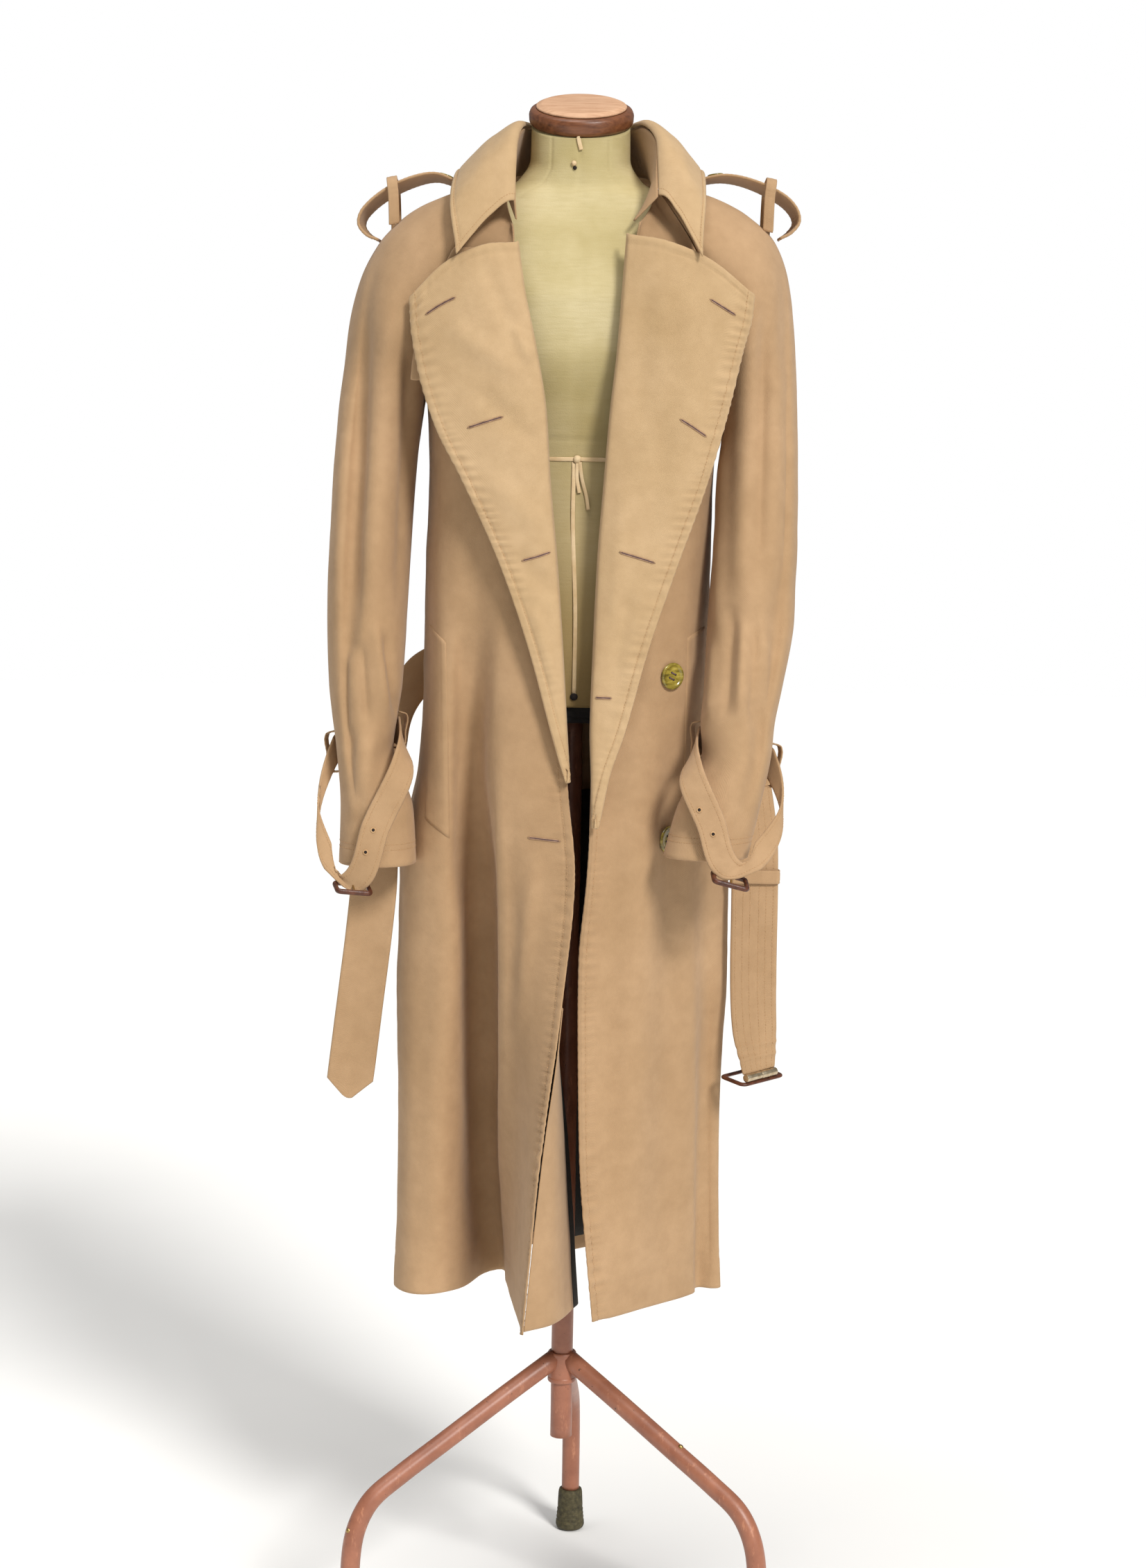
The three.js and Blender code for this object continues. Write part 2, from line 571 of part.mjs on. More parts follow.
// A loop's line over a strap: share of its half height, and how far it stands off the panel.
const LOOP_SHAPE = [[1, 1.6], [0.86, 9.4], [0, 9.8], [-0.86, 9.4], [-1, 1.6]];
const LOOP_GRID = { columns: 8, rows: 1, thickness: TRIM };

// Shoulder straps: over the shoulder, out past it and curled back down to the sleeve.
const EPAULETTE = {
  right: table("at wide", [
    [[-106, -4, 1649.1], [0, 44, 0]], [[-132, -5, 1651.1], [0, 45, -2]], [[-158, -6, 1658.6], [0, 46, -5]],
    [[-184, -7, 1653.6], [2, 46, -6]], [[-214, -8, 1639], [3, 46, -6]], [[-237, -9, 1619], [4, 46, -4]],
    [[-242, -10, 1604], [4, 46, 0]], [[-234, -11, 1592], [2, 46, 2]], [[-222, -11, 1586], [0, 46, 1]],
  ]),
  left: table("at wide", [
    [[106, -4, 1651.2], [0, 44, 0]], [[132, -5, 1658], [0, 45, -2]], [[160, -6, 1662], [0, 46, -4]],
    [[190, -7, 1656], [-2, 46, -5]], [[222, -8, 1641], [-3, 46, -6]], [[237, -9, 1627], [-4, 46, -4]],
    [[241, -10, 1613], [-4, 46, 0]], [[233, -11, 1601], [-2, 46, 2]], [[222, -11, 1594], [0, 46, 1]],
  ]),
};
const STRAP_BUTTON = { share: 0.205, radius: 9, thick: 3, lift: 0.7 };
const SHOULDER_LOOP = {
  right: [[-203, -36, 1604], [-204, -36, 1634], [-206, -33, 1652], [-207, -8, 1653], [-206, 18, 1647],
    [-205, 20, 1632], [-204, 20, 1601]],
  left: [[207, -35, 1602], [208, -36, 1638], [210, -33, 1656], [210, -8, 1657], [209, 18, 1650],
    [208, 20, 1636], [207, 20, 1602]],
};
for (const sideName of ["right", "left"]) {
  const outward = -SIGN[sideName];
  const strapAt = ribbon(EPAULETTE[sideName]);
  addWall(`epaulette_${sideName}`, strapAt, { columns: 22, rows: 2, thickness: STRAP, side: -outward });
  const loopRows = SHOULDER_LOOP[sideName].map((at) => ({ at, wide: [10, 0, -2 * outward] }));
  addWall(`epaulette_loop_${sideName}`, ribbon(loopRows), { ...LOOP_GRID, columns: 12, side: -1 });
  const { share, radius, thick, lift } = STRAP_BUTTON;
  const upward = normalAt(strapAt, share, 0.5).map((value) => outward * value);
  addTurned(`epaulette_button_${sideName}`, buttonProfile(radius, thick),
    add(strapAt(share, 0.5), upward, lift), upward, COLOURS.horn, { sides: 16 });
}

// Cuffs: a strap lies round each cuff through two loops and hangs down in front to its buckle.
function onSleeve(sideName, s, z, out) {
  const at = sleeveAt(sideName);
  const v = CAP_SHARE + (1 - CAP_SHARE) * ((UNDERARM_Z - z) / (UNDERARM_Z - CUFF_Z[sideName]));
  return add(at(s, v), normalAt(at, s, v), SIGN[sideName] * out);
}
// The sleeve is drawn in under the strap, so these loops stand higher off its faces.
const cuffLoopShape = (foot) => [[1, foot], [0.88, 12.8], [0, 13.4], [-0.88, 12.8], [-1, foot]];
const CUFF_LOOP_WIDTH = 10;
const CUFF_LOOPS = {
  inner: { s: 0.92, z: 1046, foot: 3.5, halfHeight: 20 },
  outer: { s: 0.56, z: 1022, foot: 0.3, halfHeight: 22 },
};
const CUFF_BACK = table("s z", [[0.84, 1042], [0.75, 1034], [0.65, 1026]]);
const STRAP_OUT = 7.6;
const CUFF_FRONT = {
  right: table("at wide", [
    [[-281, -78, 958], [0, 10, 28]], [[-266, -106, 912], [6, 16, 24]], [[-238, -123, 886.2], [-24, 6, 14]],
    [[-212, -122, 950], [-27, 0, 11]], [[-183, -104, 1016], [-20, -6, 20]],
  ]),
  left: table("at wide", [
    [[231, -146, 972], [0, 12, 28]], [[202, -187, 932], [-6, 16, 24]], [[172, -194, 917.9], [24, 6, 14]],
    [[150, -187, 968], [27, 0, 11]], [[128, -166, 1020], [22, -2, 20]],
  ]),
};
for (const sideName of ["right", "left"]) {
  const { inner, outer } = CUFF_LOOPS;
  const held = [inner, ...CUFF_BACK, outer].map(({ s, z }) => ({
    at: onSleeve(sideName, s, z, STRAP_OUT),
    wide: sub(onSleeve(sideName, s, z + 15, STRAP_OUT), onSleeve(sideName, s, z - 15, STRAP_OUT)),
  }));
  addWall(`cuff_strap_${sideName}`, ribbon([...held, ...CUFF_FRONT[sideName]], { closed: true }),
    { columns: 40, rows: 1, thickness: CUFF_STRAP, side: -SIGN[sideName], closed: true });
  for (const [name, { s, z, foot, halfHeight }] of Object.entries(CUFF_LOOPS)) {
    const across = unit(sub(onSleeve(sideName, s + 0.02, z, 0), onSleeve(sideName, s - 0.02, z, 0)));
    const rows = cuffLoopShape(foot).map(([up, out]) => ({
      at: onSleeve(sideName, s, z + up * halfHeight, out),
      wide: across.map((value) => value * CUFF_LOOP_WIDTH),
    }));
    addWall(`cuff_loop_${name}_${sideName}`, ribbon(rows), { ...LOOP_GRID, side: -SIGN[sideName] });
  }
}

// Leather-covered frame buckles: a rounded outline with a hole, and a bar across its middle.
function addFrame(name, place, longAxis, shortAxis, { long, short, rim, thick }) {
  const shape = new THREE.Shape();
  const corner = rim * 0.6;
  const x = long / 2;
  const y = short / 2;
  shape.moveTo(-x + corner, -y);
  shape.lineTo(x - corner, -y);
  shape.lineTo(x, -y + corner);
  shape.lineTo(x, y - corner);
  shape.lineTo(x - corner, y);
  shape.lineTo(-x + corner, y);
  shape.lineTo(-x, y - corner);
  shape.lineTo(-x, -y + corner);
  const hole = new THREE.Path();
  hole.moveTo(-x + rim, -y + rim);
  hole.lineTo(-x + rim, y - rim);
  hole.lineTo(x - rim, y - rim);
  hole.lineTo(x - rim, -y + rim);
  shape.holes.push(hole);
  let geometry = new THREE.ExtrudeGeometry(shape, { depth: thick, bevelEnabled: false });
  geometry.deleteAttribute("normal");
  geometry.deleteAttribute("uv");
  geometry = mergeVertices(geometry, 1e-3);
  const mesh = addGeometry(name, geometry, COLOURS.leather, 0.45);
  const right = new THREE.Vector3(...longAxis).normalize();
  const across = new THREE.Vector3(...shortAxis);
  const up = new THREE.Vector3().crossVectors(right, across).normalize();
  across.crossVectors(up, right);
  mesh.quaternion.setFromRotationMatrix(new THREE.Matrix4().makeBasis(right, across, up));
  mesh.position.set(...place);
}

// The belt: hangs at both sides, goes up behind the cuffs and round the back of the waist.
const WAIST_Z = 1116;
const BELT_WIDTH = 50;
function onBack(sideName, u, z, out) {
  const at = backAt(sideName);
  const v = (z - HEM_Z) / (BACK_NECK_Z - HEM_Z);
  const outward = sideName === "right" ? 1 : -1;
  return add(at(u, v), normalAt(at, u, v), -outward * out);
}
const BELT_OUT = 6.4;
const BELT_STATIONS = [0.22, 0.36, 0.5, 0.64, 0.78];
const beltRow = (at, wide) => ({ at, wide });
const roundBack = (sideName, stations) => stations.map((u) => beltRow(onBack(sideName, u, WAIST_Z, BELT_OUT),
  [0, 0, BELT_WIDTH]));
const BELT = [
  beltRow([-250, -22, 622], [-8, 0, 2]), beltRow([-247, -22, 642], [-50, 0, 4]),
  beltRow([-240, -23, 700], [-BELT_WIDTH, 0, 6]), beltRow([-222, -24, 857], [-BELT_WIDTH, 0, 4]),
  beltRow([-220, -2, 940], [-BELT_WIDTH, 6, 2]), beltRow([-208, 26, 1030], [-42, 24, 4]),
  beltRow([-182, 54, 1092], [-18, 22, 40]),
  ...roundBack("right", BELT_STATIONS), ...roundBack("right", [1]),
  ...roundBack("left", [...BELT_STATIONS].reverse()),
  beltRow([170, 56, 1092], [-18, -22, 40]), beltRow([197, 24, 1030], [-42, -24, 4]),
  beltRow([209, -4, 940], [-BELT_WIDTH, -6, 2]), beltRow([210, -24, 884], [-BELT_WIDTH, 0, 0]),
  beltRow([211, -24, 760], [-BELT_WIDTH, 0, 0]), beltRow([214, -28, 706], [-48, -14, -2]),
  beltRow([219.5, -38, 663.6], [-36, -28, -3]),
];
addWall("belt", ribbon(BELT), { columns: 66, rows: 1, thickness: STRAP });

const BELT_LOOPS = { side: 0.3, back: 0.7 };
const BELT_LOOP = { halfHeight: 32, width: 12 };
for (const sideName of ["right", "left"]) {
  for (const [name, u] of Object.entries(BELT_LOOPS)) {
    const across = unit(sub(onBack(sideName, u + 0.02, WAIST_Z, 0), onBack(sideName, u - 0.02, WAIST_Z, 0)));
    const rows = LOOP_SHAPE.map(([up, out]) => ({
      at: onBack(sideName, u, WAIST_Z + up * BELT_LOOP.halfHeight, out),
      wide: across.map((value) => value * BELT_LOOP.width),
    }));
    addWall(`belt_loop_${name}_${sideName}`, ribbon(rows), { ...LOOP_GRID, side: -SIGN[sideName] });
  }
}

const KEEPER = { x: 210, y: -22, z: 884, halfWidth: 27, halfThick: 5.8, height: 14, corner: 0.35 };
// Rounds a circle's sine or cosine out towards a box; 1 leaves it a circle.
const bowed = (value, power) => Math.sign(value) * Math.abs(value) ** power;
const KEEPER_POINTS = 12;
const keeperRows = Array.from({ length: KEEPER_POINTS }, (_, i) => {
  const angle = (2 * Math.PI * i) / KEEPER_POINTS;
  const x = KEEPER.x + KEEPER.halfWidth * bowed(Math.cos(angle), KEEPER.corner);
  const y = KEEPER.y + KEEPER.halfThick * bowed(Math.sin(angle), KEEPER.corner);
  return { at: [x, y, KEEPER.z], wide: [0, 0, KEEPER.height] };
});
addWall("belt_keeper", ribbon(keeperRows, { closed: true }), { columns: 24, rows: 1, thickness: TRIM,
  closed: true });

const BELT_FRAME = { long: 66, short: 42, rim: 6, thick: 4 };
const CUFF_FRAME = { long: 42, short: 32, rim: 5, thick: 3.5 };
const BELT_LONG = [0.77, 0.63, 0.06];
const BELT_SHORT = [-0.42, 0.9, 0.1];
const ROLLER = { radius: 4.5, length: 46 };
addFrame("belt_buckle", [212, -22, 651.2], BELT_LONG, BELT_SHORT, BELT_FRAME);
addTurned("belt_roller", [[0, 0], [ROLLER.radius, 0], [ROLLER.radius, ROLLER.length], [0, ROLLER.length]],
  [203, -53, 657], BELT_LONG, COLOURS.metal, { sides: 12, roughness: 0.3, metalness: 0.9 });
addFrame("cuff_buckle_right", [-238, -122, 878], [0.95, 0.25, -0.1], [-0.25, 0.95, 0.2], CUFF_FRAME);
addFrame("cuff_buckle_left", [172, -192, 904], [0.95, 0.1, -0.25], [0.1, 0.95, 0.2], CUFF_FRAME);

// Dress form: level rings, and a neck that leans forward to its cap.
const FORM = table("z half front back lean", [
  [1080, 126, 97, 104, 0], [1150, 132, 100, 106, 0], [1230, 130, 98, 98, 0], [1300, 118, 90, 86, 0],
  [1353, 114, 87, 82, 0], [1410, 124, 94, 88, 0], [1470, 142, 104, 98, 0], [1520, 152, 104, 104, 0],
  [1560, 156, 94, 102, 0], [1590, 152, 82, 96, 0], [1615, 138, 70, 84, 0], [1635, 111, 62, 70, 0],
  [1655, 69.5, 56, 60, 0.1], [1680, 55, 54, 52, 0.22], [1716, 54.4, 52, 50, 0.36],
]);
const FORM_FULLNESS = 0.86;
function formRing(u, v) {
  const z = heightIn(FORM, v);
  const angle = 2 * Math.PI * u;
  const x = read(FORM, "half", z) * bowed(Math.cos(angle), FORM_FULLNESS);
  const depth = Math.sin(angle) < 0 ? read(FORM, "front", z) : read(FORM, "back", z);
  const y = depth * bowed(Math.sin(angle), FORM_FULLNESS);
  return [x, y, z + y * read(FORM, "lean", z)];
}
addLoft("form_torso", formRing, { around: 26, rows: 30, colour: COLOURS.linen, roughness: 0.9 });
const FORM_BASE = { share: 0.93, low: 1062, gap: 0.3 };
addLoft("form_base", (u, v) => {
  const [x, y] = formRing(u, 0);
  const { share, low, gap } = FORM_BASE;
  return [x * share, y * share, low + v * (FORM_BOTTOM_Z - gap - low)];
}, { around: 26, rows: 1, colour: COLOURS.band, roughness: 0.7 });

const CAP_AXIS = [0, -0.345, 0.94];
const CAP_FOOT = [0.5, -0.6, 1716.9];
const CAP_HEIGHT = 19;
const CAP_RING = [[0, 0], [54, 0], [57.5, 4], [58, 12], [56, 17], [52, CAP_HEIGHT], [0, CAP_HEIGHT]];
const CAP_TOP = [[0, 0], [50, 0], [50, 2], [44, 4.5], [0, 6]];
addTurned("cap_ring", CAP_RING, CAP_FOOT, CAP_AXIS, COLOURS.ring, { sides: 24 });
const CAP_SEAT = add(CAP_FOOT, CAP_AXIS, CAP_HEIGHT + 0.4);
addTurned("cap_top", CAP_TOP, CAP_SEAT, CAP_AXIS, COLOURS.wood, { sides: 24 });

// Stand: one post, a hub, three legs that bend down to upright ends, and rubber feet.
const UP = [0, 0, 1];
const POST_FOOT_Z = 216;
const POST = FORM_BASE.low - 0.5 - POST_FOOT_Z;
addTurned("post", [[0, 0], [TUBE, 0], [TUBE, POST], [0, POST]], [0, 0, POST_FOOT_Z], UP, COLOURS.tube);
const HUB = { bore: TUBE + 0.3, outer: TUBE + 4, height: 36, edge: 3 };
const HUB_PROFILE = [
  [HUB.bore, 0], [HUB.outer - 1, 0], [HUB.outer, HUB.edge], [HUB.outer, HUB.height - HUB.edge],
  [HUB.outer - 1, HUB.height], [HUB.bore, HUB.height], [HUB.bore, 0],
];
addTurned("hub", HUB_PROFILE, [0, 0, HUB_Z - HUB.height / 2], UP, COLOURS.tube);
const LEGS = { back: 87.2, right: 207.2, left: 327.2 };
const LEG_TUBE = 11;
const LEG_BEND = table("r z", [
  [22.2, 303], [80, 271], [150, 231], [206, 199], [240, 176], [258, 146], [LEG_RADIUS, 108],
  [LEG_RADIUS, FOOT_HEIGHT + 0.4],
]);
const FOOT_PROFILE = [
  [0, 0], [17, 0], [18, 4], [15, FOOT_HEIGHT - 4], [14, FOOT_HEIGHT], [0, FOOT_HEIGHT],
];
for (const [name, degrees] of Object.entries(LEGS)) {
  const angle = (degrees * Math.PI) / 180;
  const out = (r, z) => new THREE.Vector3(r * Math.cos(angle), r * Math.sin(angle), z);
  const path = new THREE.CatmullRomCurve3(LEG_BEND.map(({ r, z }) => out(r, z)), false, "centripetal");
  const outline = new THREE.Shape().absarc(0, 0, LEG_TUBE, 0, 2 * Math.PI);
  const sweep = { extrudePath: path, steps: 12, curveSegments: 6, bevelEnabled: false };
  let geometry = new THREE.ExtrudeGeometry(outline, sweep);
  geometry.deleteAttribute("normal");
  geometry.deleteAttribute("uv");
  geometry = mergeVertices(geometry, 1e-3);
  addGeometry(`leg_${name}`, geometry, COLOURS.tube, 0.5);
  const place = out(LEG_RADIUS, 0).toArray();
  addTurned(`foot_${name}`, FOOT_PROFILE, place, UP, COLOURS.rubber, { roughness: 0.8 });
}

// The origin is the middle of the whole object's box, on the floor.
group.updateMatrixWorld(true);
const box = new THREE.Box3().setFromObject(group, true);
group.position.set(-(box.min.x + box.max.x) / 2, -(box.min.y + box.max.y) / 2, -box.min.z);

export default group;
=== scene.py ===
"""A belted trench coat worn open on a linen dress form with a three-legged stand.

Sizes are in millimetres round the stand's post until a mesh is made; right and left are the wearer's.
"""
import math

import bmesh
import bpy
import numpy as np
from mathutils import Matrix, Vector


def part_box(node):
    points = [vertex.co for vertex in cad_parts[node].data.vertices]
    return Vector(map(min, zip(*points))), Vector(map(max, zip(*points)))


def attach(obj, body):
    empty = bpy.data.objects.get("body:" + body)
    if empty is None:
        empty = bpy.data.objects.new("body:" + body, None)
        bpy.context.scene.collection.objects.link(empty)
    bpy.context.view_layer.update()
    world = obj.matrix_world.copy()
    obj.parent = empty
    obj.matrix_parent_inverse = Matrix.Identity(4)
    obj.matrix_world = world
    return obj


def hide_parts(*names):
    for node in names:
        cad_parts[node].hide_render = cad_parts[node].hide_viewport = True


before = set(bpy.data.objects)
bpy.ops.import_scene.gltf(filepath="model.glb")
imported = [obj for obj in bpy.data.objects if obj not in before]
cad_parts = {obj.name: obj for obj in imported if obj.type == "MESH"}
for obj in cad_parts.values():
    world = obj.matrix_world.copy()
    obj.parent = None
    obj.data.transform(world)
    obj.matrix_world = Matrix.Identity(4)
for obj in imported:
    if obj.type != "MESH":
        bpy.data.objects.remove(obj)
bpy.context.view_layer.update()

post_low, post_high = (np.array(corner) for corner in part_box("post"))
SHIFT = np.array([*((post_low + post_high) / 2)[:2], 0.0])
SIDES = ("right", "left")
SIGN = {"right": 1, "left": -1}

# Walls of cloth
CLOTH = 2.0          # body and sleeves
STRAP = 3.0          # belt and shoulder straps, of doubled cloth
CUFF_STRAP = 2.5
TRIM = 1.5           # loops, keeper and lower facing
TURNED = 2.5         # lapels and collar, whose edges are turned in
LINING = 1.0

# Heights and radii
HEM_Z = 395
UNDERARM_Z = 1425
NECK_Z = 1645        # top of the fronts
BACK_NECK_Z = 1652   # top of the back
RAGLAN_GAP = 1.2     # between the top of a sleeve and the body
HUB_Z = 300
LEG_RADIUS = 265     # from the post to each foot
TUBE = 12.5          # the post's radius
FOOT_HEIGHT = 50

# How far each row of stitches runs from its edge
EDGE_STITCH = 9
TOP_STITCH = 8
COLLAR_STITCH = 7
WELT_STITCH = 5
STRAP_STITCH = 4
CUFF_STITCHES = (24, 18)
BELT_STITCHES = (4, 12, 20)
HEM_STITCH = 38


# Tables: the first line names the columns, and each row is one section or fold.
def table(columns, rows):
    """Rows of numbers as dictionaries, by the columns' names."""
    names = columns.split(" ")
    return [dict(zip(names, row)) for row in rows]


def even(count, low=0, high=1):
    """Even steps from low to high."""
    return np.linspace(low, high, count)


def circle(count):
    """Even angles round a circle."""
    return np.linspace(0, 2 * math.pi, count, endpoint=False)


def hermite(a, b, slope_a, slope_b, t):
    """A cubic from a to b with the slopes given at its ends."""
    t2 = t * t
    t3 = t2 * t
    values = (2 * t3 - 3 * t2 + 1) * a + (3 * t2 - 2 * t3) * b
    return values + (t3 - 2 * t2 + t) * slope_a + (t3 - t2) * slope_b


def read(rows, column, place, by="z"):
    """One column of a table at a place between its rows, smoothly and without overshoot."""
    keys = [row[by] for row in rows]
    last = len(rows) - 1
    at = min(max(place, keys[0]), keys[last])
    k = 0
    while k < last - 1 and at > keys[k + 1]:
        k += 1

    def value(i):
        return np.atleast_1d(np.array(rows[i][column], float))

    def rise(i):
        return (value(i + 1) - value(i)) / (keys[i + 1] - keys[i])

    def slope(i):
        if i == 0:
            return rise(0)
        if i == last:
            return rise(last - 1)
        before, after = rise(i - 1), rise(i)
        total = np.where(before + after == 0, 1, before + after)
        return np.where(before * after <= 0, 0, 2 * before * after / total)

    span = keys[k + 1] - keys[k]
    t = (at - keys[k]) / span
    result = hermite(value(k), value(k + 1), slope(k) * span, slope(k + 1) * span, t)
    return result if result.size > 1 else float(result[0])


def unit(a):
    """The same direction, at length 1."""
    a = np.asarray(a, float)
    size = np.linalg.norm(a, axis=-1, keepdims=True)
    return a / np.where(size == 0, 1, size)


def along(points, u, before=None, after=None):
    """A smooth line through points; each point takes an equal share of u."""
    points = np.array(points, float)
    last = len(points) - 1
    k = np.minimum((u * last).astype(int), last - 1)
    t = (u * last - k)[:, None]
    before = points[0] if before is None else np.array(before, float)
    after = points[last] if after is None else np.array(after, float)
    longer = np.vstack([before, points, after])
    heading = unit(longer[2:] - longer[:-2])
    span = np.linalg.norm(points[1:] - points[:-1], axis=1)[:, None]
    return hermite(points[k], points[k + 1], heading[k] * span[k], heading[k + 1] * span[k], t)


def smooth(x):
    """A soft step: 0 below 0, 1 above 1."""
    x = np.clip(x, 0, 1)
    return x * x * (3 - 2 * x)


def height_in(rows, v):
    """The height at a share of the way up a table."""
    return rows[0]["z"] + v * (rows[-1]["z"] - rows[0]["z"])


# Side seams: their place across and in depth, at each height
SIDE_SEAM = {
    "right": table("z at", [
        [395, [-184, 38]], [600, [-180, 40]], [800, [-182, 40]], [900, [-182, 42]], [1050, [-164, 36]],
        [1200, [-160, 26]], [1330, [-160, 10]], [1425, [-166, -12]],
    ]),
    "left": table("z at", [
        [395, [168, 42]], [600, [166, 42]], [800, [170, 40]], [900, [166, 40]], [1050, [152, 34]],
        [1200, [150, 24]], [1330, [152, 8]], [1425, [160, -12]],
    ]),
}
# Raglan seams, as drawn for the right; the left mirrors them and settles onto its own side seam
RAGLAN = {
    "front": table("z at", [
        [1425, [-166, -12]], [1450, [-164, -48]], [1480, [-159, -74]], [1530, [-146, -92]],
        [1580, [-124, -97]], [1622, [-98, -86]], [1645, [-82, -62]],
    ]),
    "back": table("z at", [
        [1425, [-166, -12]], [1450, [-164, 30]], [1480, [-158, 60]], [1530, [-140, 88]],
        [1580, [-112, 98]], [1622, [-86, 88]], [1652, [-72, 58]],
    ]),
}
# Fronts: points across the cloth, side seam to front edge; drop is how far the edge hangs lower
FRONT = {
    "right": table("z drop side cheek slope valley ridge edge", [
        [395, 0, [-197, -4], [-168, -38], [-122, -14], [-78, 64], [-67, 20], [-45, -181]],
        [560, 0, [-193, -4], [-166, -46], [-125, -28], [-86, 30], [-71, -40], [-31, -173]],
        [750, 0, [-195, -4], [-168, -54], [-128, -48], [-92, -8], [-76, -90], [-8, -160]],
        [900, 0, [-193, 0], [-166, -60], [-132, -66], [-98, -34], [-79, -112], [5, -151]],
        [1000, 0, [-174, 2], [-160, -62], [-134, -78], [-104, -54], [-82, -118], [-4, -139]],
        [1060, 0, [-170, 1], [-156, -63], [-133, -82], [-105, -66], [-81, -118], [-8, -134]],
        [1100, 0, [-168, 0], [-154, -64], [-133, -86], [-106, -78], [-80, -118], [-10, -130]],
        [1210, 0, [-166, -6], [-152, -66], [-130, -92], [-104, -102], [-74, -117], [-19, -124]],
        [1330, 0, [-163, -12], [-152, -60], [-134, -88], [-106, -106], [-74, -117], [-29, -121]],
        [1425, 8, [-164, -34], [-154, -62], [-136, -86], [-108, -104], [-78, -114], [-38, -120]],
        [1500, 20, [-150, -84], [-142, -92], [-126, -100], [-106, -106], [-84, -110], [-57, -113]],
        [1580, 28, [-118, -99], [-111, -101], [-102, -103], [-92, -105], [-80, -106], [-68, -106]],
        [1645, 48, [-80, -64], [-79, -68], [-78, -72], [-76, -78], [-74, -86], [-72, -98]],
    ]),
    "left": table("z drop side cheek slope valley ridge edge", [
        [395, 0, [183, 10], [172, 2], [156, 6], [150, -18], [96, -74], [34, -131]],
        [600, 0, [178, 6], [170, -8], [154, -16], [145, -48], [88, -98], [16, -135]],
        [800, 0, [183, 4], [172, -14], [154, -30], [137, -66], [80, -112], [12, -141]],
        [900, 0, [180, 4], [168, -20], [150, -42], [132, -72], [82, -114], [20, -144]],
        [945, 0, [171, 5], [161, -23], [147, -47], [129, -77], [83, -116], [22, -141]],
        [1000, 0, [162, 6], [154, -26], [144, -52], [126, -82], [84, -117], [23, -138]],
        [1100, 0, [154, 2], [148, -32], [140, -58], [120, -92], [80, -116], [23, -130]],
        [1210, 0, [153, -8], [148, -40], [138, -68], [118, -98], [80, -114], [26, -124]],
        [1330, 0, [154, -14], [150, -50], [136, -80], [112, -104], [78, -115], [32, -121]],
        [1425, 8, [158, -34], [152, -62], [136, -86], [110, -104], [80, -113], [42, -118]],
        [1500, 20, [150, -84], [142, -92], [126, -100], [106, -106], [80, -109], [47, -111]],
        [1580, 28, [118, -99], [111, -101], [102, -103], [90, -105], [74, -105], [54, -104]],
        [1645, 40, [80, -64], [79, -68], [78, -72], [75, -78], [71, -86], [66, -96]],
    ]),
}
FRONT_COLUMNS = ["side", "cheek", "slope", "valley", "ridge", "edge"]
# Back: a point halfway, the depth at the middle, and the depth of its waves
BACK = table("z quarter middle wave", [
    [395, [118, 148], 166, 14], [600, [114, 140], 160, 11], [800, [110, 132], 152, 8],
    [1000, [104, 122], 140, 5], [1120, [98, 112], 124, 3], [1330, [104, 112], 124, 2],
    [1425, [112, 112], 128, 1], [1530, [92, 118], 130, 0], [1600, [70, 110], 116, 0],
    [1652, [52, 84], 92, 0],
])
BACK_WAVES = 2.5
# Sleeve caps, underarm to neck: the seam's height, the ridge on top, half the depth and the rise
CAP = {
    "right": table("t z ridge depth lift", [
        [0, 1425, [-260, -16, 1425], 62, 0], [0.2, 1465, [-256, -15, 1480], 48, 8],
        [0.4, 1515, [-243, -12, 1539], 32, 14], [0.6, 1562, [-222, -8, 1582], 20, 17],
        [0.75, 1600, [-186, -3, 1616], 9, 16], [0.88, 1628, [-140, 0, 1636], 4, 12],
        [1, 1645, [-92, 2, 1648], 1, 6],
    ]),
    "left": table("t z ridge depth lift", [
        [0, 1425, [244, -16, 1425], 62, 0], [0.2, 1465, [240, -15, 1488], 48, 8],
        [0.4, 1515, [232, -12, 1546], 32, 14], [0.6, 1562, [216, -8, 1590], 20, 17],
        [0.75, 1600, [184, -3, 1619], 9, 16], [0.88, 1628, [140, 0, 1638], 4, 12],
        [1, 1645, [92, 2, 1648], 1, 6],
    ]),
}
# Sleeves below the underarm: outer and inner line, their place in depth, and half the sleeve's depth
ARM = {
    "right": table("z outer inner y depth", [
        [902, -257, -171, -68, 45], [960, -256, -175, -64, 46], [1030, -262, -198, -56, 44],
        [1065, -267, -194, -52, 48], [1100, -271, -189, -48, 55], [1180, -274, -185, -38, 60],
        [1300, -270, -179, -27, 62], [1385, -264, -173, -19, 62], [1425, -260, -166, -12, 62],
    ]),
    "left": table("z outer inner y depth", [
        [925, 194, 102, -140, 42], [975, 206, 116, -130, 42], [1035, 219, 143, -116, 42],
        [1065, 222, 141, -108, 46], [1100, 229, 144, -98, 52], [1180, 243, 148, -72, 58],
        [1300, 246, 157, -42, 61], [1385, 246, 162, -24, 62], [1425, 244, 160, -12, 62],
    ]),
}
CUFF_Z = {"right": 902, "left": 925}
# The long hollow down each sleeve: its place round the sleeve, its width and its depth
GROOVE = {
    "right": {"s": 0.31, "width": 0.035, "deep": 11},
    "left": {"s": 0.34, "width": 0.04, "deep": 12},
}
CAP_SHARE = 0.38      # share of a sleeve's length that is cap
LAPEL_TURN = 7.4      # how far behind its roll line a lapel starts
